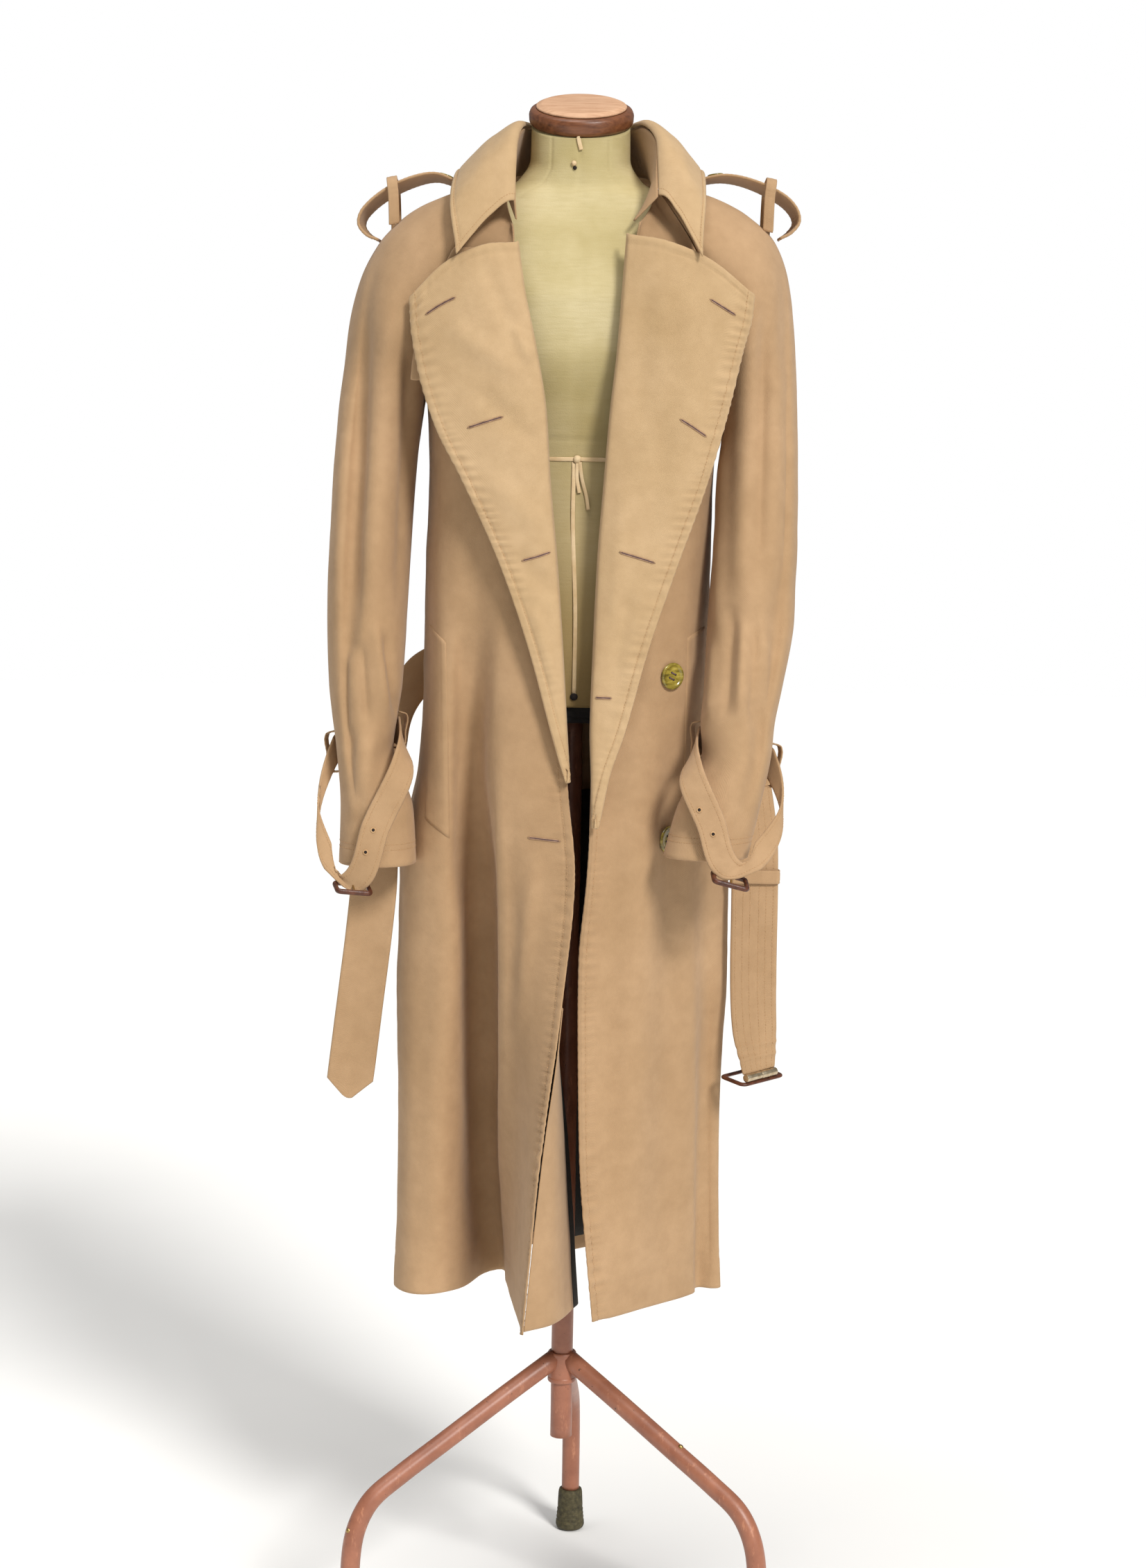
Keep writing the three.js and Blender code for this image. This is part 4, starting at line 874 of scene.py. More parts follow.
class Finish:
    """A material under construction: add() puts in one node with its settings and links."""
    def __init__(self, name, roughness=0.6, metallic=0.0, **constants):
        self.material = bpy.data.materials.new(name)
        self.material.use_nodes = True
        self.tree = self.material.node_tree
        self.shader = self.tree.nodes["Principled BSDF"]
        self.set(self.shader, {"Roughness": roughness, "Metallic": metallic, **constants})

    def set(self, node, inputs):
        """Links or sets inputs by their names or numbers."""
        for name, value in inputs.items():
            socket = node.inputs[name]
            if isinstance(value, bpy.types.NodeSocket):
                self.tree.links.new(value, socket)
            else:
                socket.default_value = value

    def add(self, kind, inputs=None, **settings):
        node = self.tree.nodes.new("ShaderNode" + kind)
        for name, value in settings.items():
            setattr(node, name, value)
        self.set(node, inputs or {})
        return node

    def coordinates(self, kind="Object", scale=(1, 1, 1), rotation=(0, 0, 0)):
        source = self.add("TexCoord").outputs[kind]
        return self.add("Mapping", {"Vector": source, "Scale": scale, "Rotation": rotation}).outputs[0]

    def noise(self, place, per_metre, detail=3.0, rough=0.55):
        inputs = {"Vector": place, "Scale": per_metre, "Detail": detail, "Roughness": rough}
        return self.add("TexNoise", inputs).outputs["Fac"]

    def ramp(self, value, low, high):
        inputs = {"Value": value, "From Min": low, "From Max": high}
        return self.add("MapRange", inputs).outputs[0]

    def mix(self, share, a, b, blend="MIX"):
        first, second = (linear(value) if isinstance(value, str) else value for value in (a, b))
        inputs = {MIX_SHARE: share, MIX_FIRST: first, MIX_SECOND: second}
        return self.add("Mix", inputs, data_type="RGBA", blend_type=blend).outputs[MIX_RESULT]

    def part(self, value, share):
        """A value times a constant, as a weaker mask."""
        return self.add("Math", {0: value, 1: share}, operation="MULTIPLY").outputs[0]

    def bump(self, height, distance, strength=1.0, under=None):
        inputs = {"Height": height, "Distance": distance, "Strength": strength}
        if under is not None:
            inputs["Normal"] = under
        return self.add("Bump", inputs).outputs[0]

    def colour(self, value):
        self.set(self.shader, {"Base Color": linear(value) if isinstance(value, str) else value})

    def relief(self, normal):
        self.set(self.shader, {"Normal": normal})


def gabardine(name, light, middle, dark):
    """Proofed cotton gabardine: steep fine twill, matt with a faint bloom, colour worn in clouds."""
    cloth = Finish(name, roughness=0.82)
    cloth.set(cloth.shader, {"Sheen Weight": 0.12, "Sheen Roughness": 0.5, "Specular IOR Level": 0.25})
    place = cloth.coordinates()
    clouds = cloth.ramp(cloth.noise(place, 7, 4), 0.3, 0.7)
    mottle = cloth.ramp(cloth.noise(place, 60, 4, 0.6), 0.3, 0.7)
    base = cloth.mix(clouds, middle, light)
    base = cloth.mix(cloth.part(mottle, 0.22), base, dark)
    weave_place = cloth.coordinates("UV", rotation=(0, 0, math.radians(27)))
    # The real twill ribs are 0.5 mm apart; 1.1 mm is the finest that shows.
    twill = cloth.add("TexWave", {"Vector": weave_place, "Scale": 286.0, "Distortion": 0.6, "Detail": 1.0,
                                  "Detail Scale": 1.5}).outputs["Fac"]
    threads = cloth.noise(place, 900, 2, 0.6)
    base = cloth.mix(cloth.part(twill, 0.07), base, dark)
    cloth.colour(base)
    creases = cloth.noise(place, 45, 5, 0.6)
    normal = cloth.bump(creases, 0.0018, 0.5)
    normal = cloth.bump(threads, 0.0003, 0.4, normal)
    cloth.relief(cloth.bump(twill, 0.0002, 0.5, normal))
    return cloth.material


def plain_cloth(name, light, dark, per_metre, weave=700, roughness=0.85, lower_tone_and_shade=None):
    """Plain-woven cloth, matt, with slubs along one thread; lower_tone_and_shade is the colour it darkens to
    lower down, towards the waist: partly the cloth's own browner tone, partly painted shade.
    """
    cloth = Finish(name, roughness=roughness)
    place = cloth.coordinates()
    slubs = cloth.noise(cloth.coordinates(scale=(1, 1, 9)), per_metre * 5, 3)
    clouds = cloth.ramp(cloth.noise(place, per_metre, 4), 0.3, 0.7)
    base = cloth.mix(clouds, light, dark)
    base = cloth.mix(cloth.part(cloth.ramp(slubs, 0.35, 0.7), 0.25), base, dark)
    if lower_tone_and_shade:
        # Darker lower down: partly the linen's own browner tone, partly painted shade under the lapels.
        height = cloth.add("SeparateXYZ", {"Vector": place}).outputs["Z"]
        low = cloth.add("MapRange", {"Value": height, "From Min": 1.5, "From Max": 1.08}).outputs["Result"]
        base = cloth.mix(low, base, lower_tone_and_shade)
    cloth.colour(base)
    normal = cloth.bump(cloth.noise(place, weave, 2), 0.0004, 0.6)
    cloth.relief(cloth.bump(slubs, 0.0006, 0.4, normal))
    return cloth.material


def wood(name, light, dark, roughness, along_axis=(1, 9, 9)):
    """Turned wood: stretched grain with dark pores under a worn varnish."""
    timber = Finish(name, roughness=roughness)
    grain = timber.noise(timber.coordinates(scale=along_axis), 22, 6, 0.65)
    pores = timber.noise(timber.coordinates(scale=(1, 30, 30)), 60, 3)
    wear = timber.ramp(timber.noise(timber.coordinates(), 45, 5, 0.7), 0.45, 0.7)
    base = timber.mix(timber.ramp(grain, 0.3, 0.7), light, dark)
    timber.colour(timber.mix(timber.part(wear, 0.35), base, light))
    timber.relief(timber.bump(pores, 0.0004, 0.35))
    return timber.material


def stove_paint(name, light, dark, bare):
    """Brushed metallic paint on steel tube, rubbed and chipped to primer and dirt."""
    paint = Finish(name, roughness=0.42)
    paint.set(paint.shader, {"Coat Weight": 0.15, "Coat Roughness": 0.35})
    place = paint.coordinates()
    clouds = paint.ramp(paint.noise(place, 26, 5, 0.65), 0.3, 0.7)
    chips = paint.ramp(paint.noise(place, 150, 4, 0.7), 0.66, 0.7)
    scuffs = paint.ramp(paint.noise(paint.coordinates(scale=(1, 1, 0.25)), 95, 5, 0.75), 0.58, 0.7)
    base = paint.mix(clouds, dark, light)
    base = paint.mix(paint.part(scuffs, 0.45), base, "D99A76")
    paint.colour(paint.mix(chips, base, bare))
    paint.relief(paint.bump(paint.noise(place, 300, 3), 0.0003, 0.5))
    return paint.material


def leather(name, light, dark):
    """Calf leather wrapped over the buckle frames: fine pebble, and two browns in clouds."""
    hide = Finish(name, roughness=0.42)
    place = hide.coordinates()
    pebble = hide.add("TexVoronoi", {"Vector": place, "Scale": 900.0}).outputs["Distance"]
    clouds = hide.ramp(hide.noise(place, 120, 4), 0.3, 0.7)
    hide.colour(hide.mix(clouds, light, dark))
    hide.relief(hide.bump(pebble, 0.0003, 0.5))
    return hide.material


def horn(name, light, middle, dark):
    """Polished horn: cloudy streaks drawn one way, with a clear gloss."""
    button = Finish(name, roughness=0.22, **{"Coat Weight": 0.4, "Coat Roughness": 0.08})
    streaks = button.noise(button.coordinates(scale=(1, 1, 3), rotation=(0, 0.6, 0)), 70, 5, 0.6)
    base = button.mix(button.ramp(streaks, 0.35, 0.55), dark, middle)
    button.colour(button.mix(button.ramp(streaks, 0.55, 0.75), base, light))
    button.relief(button.bump(streaks, 0.0002, 0.2))
    return button.material


def plain(name, light, dark, roughness, metallic=0.0, per_metre=200):
    """A small piece's own finish: two close colours and a fine grain."""
    finish = Finish(name, roughness=roughness, metallic=metallic)
    place = finish.coordinates()
    finish.colour(finish.mix(finish.ramp(finish.noise(place, per_metre, 4), 0.3, 0.7), light, dark))
    finish.relief(finish.bump(finish.noise(place, per_metre * 6, 2), 0.0002, 0.4))
    return finish.material


COAT = gabardine("tan_gabardine", "BF9D78", "AE8D68", "8C6C4A")
# The coat's own gabardine made lighter: painted light on the lapels and the collar's fall, which turn up
# towards the light.
FACING_PAINTED_LIGHTER = gabardine("facing_gabardine_painted_lighter", "CBAD86", "BB9D74", "997A52")
# Plain near-black lining: partly its own dark tone, partly painted shade of the coat's inside.
LINING_DARK_AND_PAINTED_SHADE = plain_cloth("dark_lining_twill_and_painted_shade", "2E2A24", "171612", 20)
# The linen darkens lower down: partly its own browner tone, partly painted shade under the lapels.
LINEN = plain_cloth("natural_linen", "D2C49A", "B0A06C", 9, 800, lower_tone_and_shade="93794A")
TAPE = plain_cloth("cotton_tape", "E3CBA4", "CDAE80", 40)
BAND = plain_cloth("black_base_cloth", "262220", "12100F", 30)
MAHOGANY = wood("varnished_mahogany", "8A5636", "4E2A18", 0.35)
PALE_WOOD = wood("rubbed_beech", "DEB592", "B98A68", 0.55)
PAINT = stove_paint("copper_brown_paint", "A66C52", "8B5640", "5A3A2A")
RUBBER = plain("moulded_rubber", "5A5236", "2E2A18", 0.75)
LEATHER = leather("brown_calf", "6A3A24", "38190C")
HORN = horn("olive_horn", "C9B862", "9C8B38", "5E5420")
THREAD = plain("tan_thread", "C9A57A", "A98358", 0.7)
LIP_THREAD = plain("lip_thread", "B08E70", "8A6A52", 0.7)
# Dark thread for the buttons, and painted shade in the buttonholes' slits.
DARK_THREAD_AND_SLIT_SHADE = plain("mauve_brown_thread_and_slit_shade", "6E5560", "4A3740", 0.7)
# Thin dark discs of painted shade in the eyelets' and buttons' holes; also the dark domes on the form's nail
# and below the pin's head.
HOLE_SHADE_AND_DARK_HEADS = plain("hole_shade_and_dark_heads", "2A1E1A", "140E0C", 0.9)
BRASS = plain("aged_brass", "B79A62", "8A6E3E", 0.35, 0.9)
ROLLER_METAL = plain("champagne_metal", "D8C9AE", "B09C7C", 0.3, 0.9)


# Relief: how far the cloth stands out from its drawn surface, in millimetres
def groove(distance, at, deep, wide):
    """A line drawn in by stitches, at one distance from an edge."""
    return -deep * np.exp(-(((distance - at) / wide) ** 2))


def pucker(distance, run, seed, height=1.5, pitch=10.5, stitch=EDGE_STITCH, reach=22.0):
    """Ridges square to a stitched edge, where the thread has drawn the cloth up."""
    phase = run / pitch + 0.9 * noise_line(run, 35, seed)
    wave = np.sin(2 * math.pi * phase) * (0.65 + 0.35 * noise_line(run, 60, seed + 1))
    envelope = smooth(distance / 4) * smooth((reach + 6 - distance) / 16)
    band = 0.7 * smooth(distance / 1.5) * smooth((stitch - distance) / 2)
    return height * wave * envelope + band + groove(distance, stitch, 0.8, 1.6)


DENTS = [(75, 1.5), (32, 0.7), (13, 0.18)]      # width and height of each size


def crumple(panel, seed, amount=1.0):
    """Shallow dents of three sizes all over a panel."""
    return amount * sum(height * noise(panel.grid, size, seed + k) for k, (size, height) in enumerate(DENTS))


MM_PER_PIXEL = 0.79
FOLD_DEPTH = 1.7      # folds are drawn this much deeper than their tables say


def folds(panel, rows):
    """Ridges (height above 0) and valleys along straight lines, placed where the photograph shows them."""
    pixels = seen(panel.grid)
    total = np.zeros(pixels.shape[:2])
    for fold in rows:
        start = np.array(fold["start"], float)
        line = np.array(fold["stop"], float) - start
        length = np.hypot(*line)
        rel = pixels - start
        t = (rel @ line) / length**2
        off = (rel[..., 0] * line[1] - rel[..., 1] * line[0]) / length * MM_PER_PIXEL
        ends = smooth((t + 0.12) / 0.3) * smooth((1.12 - t) / 0.3)
        total += FOLD_DEPTH * fold["height"] * ends * np.exp(-((off / fold["width"]) ** 2))
    return total


FRONT_FOLDS = {
    "right": table("start stop width height", [
        [[690, 1180], [698, 1790], 17, -7], [[722, 1120], [724, 1780], 6, 4],
        [[640, 800], [650, 1500], 14, 3], [[664, 900], [660, 1300], 9, -3],
        [[735, 1250], [745, 1800], 12, -2],
        [[610, 1260], [600, 1840], 16, -3], [[640, 1400], [634, 1830], 14, 3],
        [[770, 1240], [740, 1500], 9, 2],
    ]),
    "left": table("start stop width height", [
        [[930, 1040], [905, 1700], 26, 4], [[975, 1080], [960, 1850], 22, -4],
        [[880, 1200], [875, 1750], 18, -3],
        [[945, 820], [935, 1010], 12, 3], [[1024, 1400], [1022, 1860], 8, -3],
    ]),
}
LAPEL_FOOT_Z = {"right": 1004, "left": 955}


def front_relief(side):
    """Folds and creases, a drawn-up open edge, and the hem's stitches."""
    def relief(panel):
        edge = panel.across[:, -1:] - panel.across
        z = panel.grid[..., 2]
        open_edge = smooth((LAPEL_FOOT_Z[side] + 30 - z) / 50)
        drawn = pucker(edge, panel.down[:, -1:] + 0 * edge, 11 if side == "right" else 23)
        held = smooth(panel.across / 25)
        shape = (crumple(panel, 3 if side == "right" else 5, 0.8) + folds(panel, FRONT_FOLDS[side])) * held
        hem = groove(z - HEM_Z, HEM_STITCH, 0.5, 2.5)
        return shape * smooth((edge + 12) / 30) + drawn * open_edge + hem
    return relief


def back_relief(panel):
    """Creases, the seam down the middle, and the hem's stitches."""
    centre = panel.across[:, -1:] - panel.across
    middle_seam = groove(centre, 0, 0.8, 1.5) + groove(centre, 6, 0.3, 1.2)
    hem = groove(panel.grid[..., 2] - HEM_Z, HEM_STITCH, 0.5, 2.5)
    return crumple(panel, 8, 0.9) * smooth(panel.across / 20) + middle_seam + hem


def softened(rows, level, reach):
    """The same surface, with its turn at one level made gradual."""
    def row(u, v):
        share = math.exp(-(((v - level) / (1.6 * reach)) ** 2))
        steps = np.linspace(-1, 1, 7) * reach * share
        return np.mean([rows(u, min(max(v + step, 0), 1)) for step in steps], axis=0)
    return row


SLEEVE_FOLDS = {
    "right": table("start stop width height", [
        [[566, 430], [534, 860], 15, 4.5], [[520, 440], [512, 900], 12, -4],
        [[590, 520], [577, 860], 8, -3],
        [[500, 560], [487, 860], 9, 2], [[540, 900], [556, 1030], 7, 3], [[556, 920], [572, 1030], 5, -3],
        [[520, 930], [530, 1040], 6, -3], [[508, 940], [510, 1060], 6, 3],
        [[530, 1060], [515, 1180], 12, 4],
    ]),
    "left": table("start stop width height", [
        [[1082, 430], [1070, 860], 15, 4.5], [[1102, 460], [1094, 820], 9, -4],
        [[1124, 520], [1118, 860], 10, 3],
        [[1045, 640], [1035, 900], 8, 3], [[1055, 880], [1045, 1030], 7, -3],
        [[1072, 900], [1066, 1030], 6, 3],
        [[1090, 900], [1086, 1040], 6, -3], [[1103, 920], [1100, 1040], 5, 2],
        [[1028, 930], [1022, 1030], 5, 2],
    ]),
}


def sleeve_relief(side, back):
    """Creases, long folds in front, a stitched raglan and cuff."""
    def relief(panel):
        top, bottom = panel.across, panel.across[:, -1:] - panel.across
        held = smooth(top / 12) * smooth(bottom / 12)
        shape = crumple(panel, 31 if side == "right" else 37, 0.8)
        if not back:
            shape = shape + folds(panel, SLEEVE_FOLDS[side])
        cuff = panel.down[-1:] - panel.down
        seam_side = bottom if back else top
        above = smooth((CAP_SHARE + 0.02 - np.asarray(panel.vs)[:, None]) / 0.04)
        lap = above * groove(seam_side, 7, 0.35, 1.4)
        hem = sum(groove(cuff, at, 0.4, 1.6) for at in CUFF_STITCHES)
        return shape * held + lap + hem
    return relief


LAPEL_FOLDS = {
    "right": table("start stop width height", [
        [[700, 380], [748, 500], 10, -1.5], [[650, 470], [745, 540], 12, 1.5],
        [[690, 560], [770, 640], 12, -1.5],
        [[740, 470], [762, 520], 5, 2.5], [[700, 690], [780, 760], 14, 1.5],
        [[745, 800], [800, 860], 12, -1.5],
        [[770, 880], [800, 990], 7, 1.5],
    ]),
    "left": table("start stop width height", [
        [[930, 400], [925, 620], 16, -2], [[1000, 420], [985, 640], 18, 2],
        [[960, 620], [930, 800], 14, -1.5],
        [[900, 700], [885, 900], 10, 1.5], [[905, 860], [885, 990], 9, -1.5],
    ]),
}


def lapel_relief(side):
    """Folds, and puckers that grow stronger down the edge."""
    def relief(panel):
        edge = panel.across[:, -1:] - panel.across
        top = panel.down[-1:] - panel.down
        growing = 0.45 + 1.15 * smooth((panel.down - 60) / 260)
        side_pucker = pucker(edge, panel.down[:, -1:] + 0 * edge, 41 if side == "right" else 43, growing)
        top_pucker = pucker(top, panel.across[-1:] + 0 * top, 47, 0.7)
        both = side_pucker * smooth((top - 2) / 10) + top_pucker * smooth((edge - 2) / 10)
        shape = crumple(panel, 51 if side == "right" else 57, 0.8) + folds(panel, LAPEL_FOLDS[side])
        roll = smooth(panel.across / 14)
        return TURNED + shape * roll * smooth((edge + 8) / 20) + both * roll
    return relief


def collar_relief(panel):
    """Creases and a faintly drawn-up edge."""
    edge = panel.across[:, -1:] - panel.across
    ends = np.minimum(panel.down, panel.down[-1:] - panel.down)
    line = np.minimum(edge, ends)
    stitched = groove(line, COLLAR_STITCH, 0.135, 1.5)
    drawn = pucker(edge, panel.down[:, -1:] + 0 * edge, 61, 0.35, stitch=COLLAR_STITCH, reach=14)
    shape = crumple(panel, 63, 0.5) * smooth(panel.across / 15)
    return TURNED + shape + drawn * smooth(ends / 15) + stitched


def narrow_relief(base, edge_stitch=STRAP_STITCH, seed=71, amount=0.25):
    """A strap: its stitched edges lie lower, and the cloth between them is a little full."""
    def relief(panel):
        low, high = panel.down, panel.down[-1:] - panel.down
        line = np.minimum(low, high)
        stitched = groove(line, edge_stitch, 0.3, 1.0)
        ripple = 0.12 * np.sin(2 * math.pi * panel.across / 5.5) * smooth((8 - line) / 6)
        return base + stitched + ripple + crumple(panel, seed, amount) * smooth(line / 6)
    return relief


# The coat, each piece in place of its solid
panels = {}


def sew(name, node, rows, us, vs, outward, thickness, material, relief=None, closed=False):
    """Makes a panel's cloth and puts it in place of its solid."""
    panel = Panel(rows, us, vs, outward, relief, closed)
    stand_in(shell(name, panel, thickness, material), node)
    panels[node] = panel
    return panel


CAP_BLEND = 0.07      # how far the turn from the sleeve's arm to its cap is spread
for side in SIDES:
    sign = SIGN[side]
    sew(f"coat_front_{side}", f"front_{side}", front_rows(side), spread(0.003, 1, 66, [(1.0, 0.1, 4)]),
        even(380), sign, CLOTH, COAT, front_relief(side))
    sew(f"coat_back_{side}", f"back_{side}", back_rows(side), spread(0.002, 0.999, 48, [(1.0, 0.05, 4)]),
        even(170), -sign, CLOTH, COAT, back_relief)
    sleeve = softened(sleeve_rows(side), CAP_SHARE, CAP_BLEND)
    sew(f"coat_sleeve_front_{side}", f"sleeve_front_{side}", sleeve, even(50, 0.002, 0.499),
        even(220, 0.02), sign, CLOTH, COAT, sleeve_relief(side, False))
    sew(f"coat_sleeve_back_{side}", f"sleeve_back_{side}", sleeve, even(32, 0.501, 0.998),
        even(160, 0.02), sign, CLOTH, COAT, sleeve_relief(side, True))
    # Lapels in the lighter copy of the gabardine: painted light.
    sew(f"coat_lapel_{side}", f"lapel_{side}", lapel_rows(side),
        spread(0, 1, 50, [(0.0, 0.04, 5), (1.0, 0.2, 1)]), even(230), -sign, TURNED, FACING_PAINTED_LIGHTER,
        lapel_relief(side))
sew("coat_collar_stand", "collar_stand", collar_stand_rows, even(14), even(160), 1, CLOTH, COAT,
    lambda panel: crumple(panel, 81, 0.3) * smooth(panel.across / 8))
# The collar's fall in the lighter copy of the gabardine: painted light.
sew("coat_collar_fall", "collar_fall", collar_fall_rows, even(34), even(300), -1, TURNED, FACING_PAINTED_LIGHTER,
    collar_relief)
sew("coat_gun_flap", "gun_flap", flap_rows, even(30), even(50), -1, CLOTH, COAT,
    lambda panel: CLOTH + crumple(panel, 83, 0.3))
sew("coat_facing", "facing_right", facing_rows, even(24, 0, 0.5), even(120), 1, TRIM, COAT,
    lambda panel: crumple(panel, 85, 0.4) * smooth(panel.across / 12))
# The linings' near-black is partly painted shade of the coat's inside.
sew("coat_lining_edge", "lining_right", facing_rows, even(20, 0.505, 1), even(80), 1, LINING, LINING_DARK_AND_PAINTED_SHADE,
    lambda panel: crumple(panel, 87, 0.3))
sew("coat_lining_back", "lining_back", lining_back_rows, even(70), even(40), 1, LINING, LINING_DARK_AND_PAINTED_SHADE,
    lambda panel: LINING + crumple(panel, 89, 0.4))


# Straps, loops, belt and pockets
def spot(rows, u, v, out, outward):
    """A point off a drawn surface, before any relief."""
    step = 0.004
    du = rows(np.array([u + step]), v)[0] - rows(np.array([u - step]), v)[0]
    dv = rows(np.array([u]), v + step)[0] - rows(np.array([u]), v - step)[0]
    return rows(np.array([u]), v)[0] + unit(np.cross(du, dv)) * outward * out


def on_sleeve(side, s, z, out):
    """A point off a sleeve, s of the way round it."""
    v = CAP_SHARE + (1 - CAP_SHARE) * (UNDERARM_Z - z) / (UNDERARM_Z - CUFF_Z[side])
    return spot(sleeve_rows(side), s, v, out, SIGN[side])


def on_back(side, u, z, out):
    """A point off the back, u of the way from its side seam to the middle."""
    return spot(back_rows(side), u, (z - HEM_Z) / (BACK_NECK_Z - HEM_Z), out, -SIGN[side])


def over_front(grid):
    """The coat seen square from the front: across and up."""
    return grid[..., [0, 2]]


def welt_rows(side):
    """A pocket's flap, laid on the front between its four corners."""
    corner = {name: np.array(at, float) for name, at in WELT[side].items()}
    front = panels[f"front_{side}"]

    def row(us, v):
        outer = corner["outerTop"] * (1 - v) + corner["outerFoot"] * v
        inner = corner["innerTop"] * (1 - v) + corner["innerFoot"] * v
        spots = [outer * (1 - u) + inner * u for u in us]
        found = [front.find(*place, view=over_front) for place in spots]
        u, v = np.array(found).T
        return front.place(u, v, WELT_OUT)
    return row


def welt_relief(panel):
    """A pocket's flap: one long side lifts a little, and both are stitched."""
    side = np.minimum(panel.across, panel.across[:, -1:] - panel.across)
    ends = np.minimum(panel.down, panel.down[-1:] - panel.down)
    stitched = groove(side, WELT_STITCH, 0.6, 1.4) + groove(ends, WELT_STITCH, 0.5, 1.4)
    lift = 1.4 * smooth((10 - panel.across) / 10)
    return CLOTH + 0.8 + lift + stitched


BELT_RIGHT = table("at wide", [
    [[-250, -22, 622], [-8, 0, 2]], [[-247, -22, 642], [-50, 0, 4]], [[-240, -23, 700], [-50, 0, 6]],
    [[-222, -24, 857], [-50, 0, 4]], [[-220, -2, 940], [-50, 6, 2]], [[-208, 26, 1030], [-42, 24, 4]],
    [[-182, 54, 1092], [-18, 22, 40]],
])
BELT_LEFT = table("at wide", [
    [[170, 56, 1092], [-18, -22, 40]], [[197, 24, 1030], [-42, -24, 4]], [[209, -4, 940], [-50, -6, 2]],
    [[210, -24, 884], [-50, 0, 0]], [[211, -24, 760], [-50, 0, 0]], [[214, -28, 706], [-48, -14, -2]],
    [[219.5, -38, 663.6], [-36, -28, -3]],
])


def belt_rows():
    """The belt: both hanging ends, and the line between them round the back."""
    around = [("right", u) for u in [*BELT_STATIONS, 1]] + [("left", u) for u in BELT_STATIONS[::-1]]
    back = [{"at": on_back(side, u, WAIST_Z, BELT_OUT), "wide": [0, 0, BELT_WIDTH]} for side, u in around]
    return ribbon([*BELT_RIGHT, *back, *BELT_LEFT])


def belt_relief(panel):
    """Rows of stitching along the belt, and two sewn ridges where it turns over its roller."""
    line = np.minimum(panel.down, panel.down[-1:] - panel.down)
    rows = sum(groove(line, at, 0.25, 0.9) for at in BELT_STITCHES)
    end = panel.across[:, -1:] - panel.across
    ridges = sum(groove(end, at, -1.6, 3.0) for at in (16, 29))
    return rows + ridges + crumple(panel, 91, 0.5) * smooth(line / 6)


HALF_CUFF_STRAP = 15
NARROW_LOOP = 10
for side in SIDES:
    sign = SIGN[side]
    sew(f"coat_pocket_{side}", f"pocket_welt_{side}", welt_rows(side), even(14), even(60), sign, CLOTH, COAT,
        welt_relief)
    sew(f"coat_shoulder_strap_{side}", f"epaulette_{side}", ribbon(EPAULETTE[side]), even(110), even(20),
        -sign, STRAP, COAT, narrow_relief(0, seed=73))
    loop = [{"at": at, "wide": [NARROW_LOOP, 0, 2 * sign]} for at in SHOULDER_LOOP[side]]
    sew(f"coat_shoulder_loop_{side}", f"epaulette_loop_{side}", ribbon(loop), even(90), even(8), -1, TRIM,
        COAT, narrow_relief(TRIM, 2, 75, 0.1))
    strap = []
    for row in [CUFF_LOOPS["inner"], *CUFF_BACK, CUFF_LOOPS["outer"]]:
        low, middle, high = (on_sleeve(side, row["s"], row["z"] + up, STRAP_OUT)
                             for up in (-HALF_CUFF_STRAP, 0, HALF_CUFF_STRAP))
        strap.append({"at": middle, "wide": high - low})
    sew(f"coat_cuff_strap_{side}", f"cuff_strap_{side}", ribbon([*strap, *CUFF_FRONT[side]], closed=True),
        even(220), even(13), sign, CUFF_STRAP, COAT, narrow_relief(0, STRAP_STITCH, 77, 0.2), closed=True)
    for name, row in CUFF_LOOPS.items():
        s, z = row["s"], row["z"]
        across = unit(on_sleeve(side, s + 0.02, z, 0) - on_sleeve(side, s - 0.02, z, 0))
        shape = [[1, row["foot"]], [0.88, 12.8], [0, 13.4], [-0.88, 12.8], [-1, row["foot"]]]
        loop = [{"at": on_sleeve(side, s, z + up * row["halfHeight"], out), "wide": across * NARROW_LOOP}
                for up, out in shape]
        sew(f"coat_cuff_loop_{name}_{side}", f"cuff_loop_{name}_{side}", ribbon(loop), even(50), even(7),
            -sign, TRIM, COAT, narrow_relief(TRIM, 2, 79, 0.1))
    for name, u in BELT_LOOPS.items():
        across = unit(on_back(side, u + 0.02, WAIST_Z, 0) - on_back(side, u - 0.02, WAIST_Z, 0))
        loop = [{"at": on_back(side, u, WAIST_Z + up * BELT_LOOP["halfHeight"], out),
                 "wide": across * BELT_LOOP["width"]} for up, out in LOOP_SHAPE]
        sew(f"coat_belt_loop_{name}_{side}", f"belt_loop_{name}_{side}", ribbon(loop), even(60), even(7),
            -sign, TRIM, COAT, narrow_relief(TRIM, 2, 93, 0.1))
belt = sew("coat_belt", "belt", belt_rows(), even(600), even(20), -1, STRAP, COAT, belt_relief)


def bowed(value, power):
    """A sine or cosine made fuller, for a squared-off circle."""
    return np.sign(value) * np.abs(value) ** power


keeper_line = [{"at": [KEEPER["x"] + KEEPER["halfWidth"] * bowed(math.cos(a), KEEPER["corner"]),
                       KEEPER["y"] + KEEPER["halfThick"] * bowed(math.sin(a), KEEPER["corner"]), KEEPER["z"]],
                "wide": [0, 0, KEEPER["height"]]} for a in circle(12)]
sew("coat_belt_keeper", "belt_keeper", ribbon(keeper_line, closed=True), even(120), even(9), 1, TRIM, COAT,
    narrow_relief(TRIM, 2, 95, 0.1), closed=True)


# Buckles: leather wound round a frame
PRONG_RADIUS = 1.1
CUFF_PADDING = 1.7


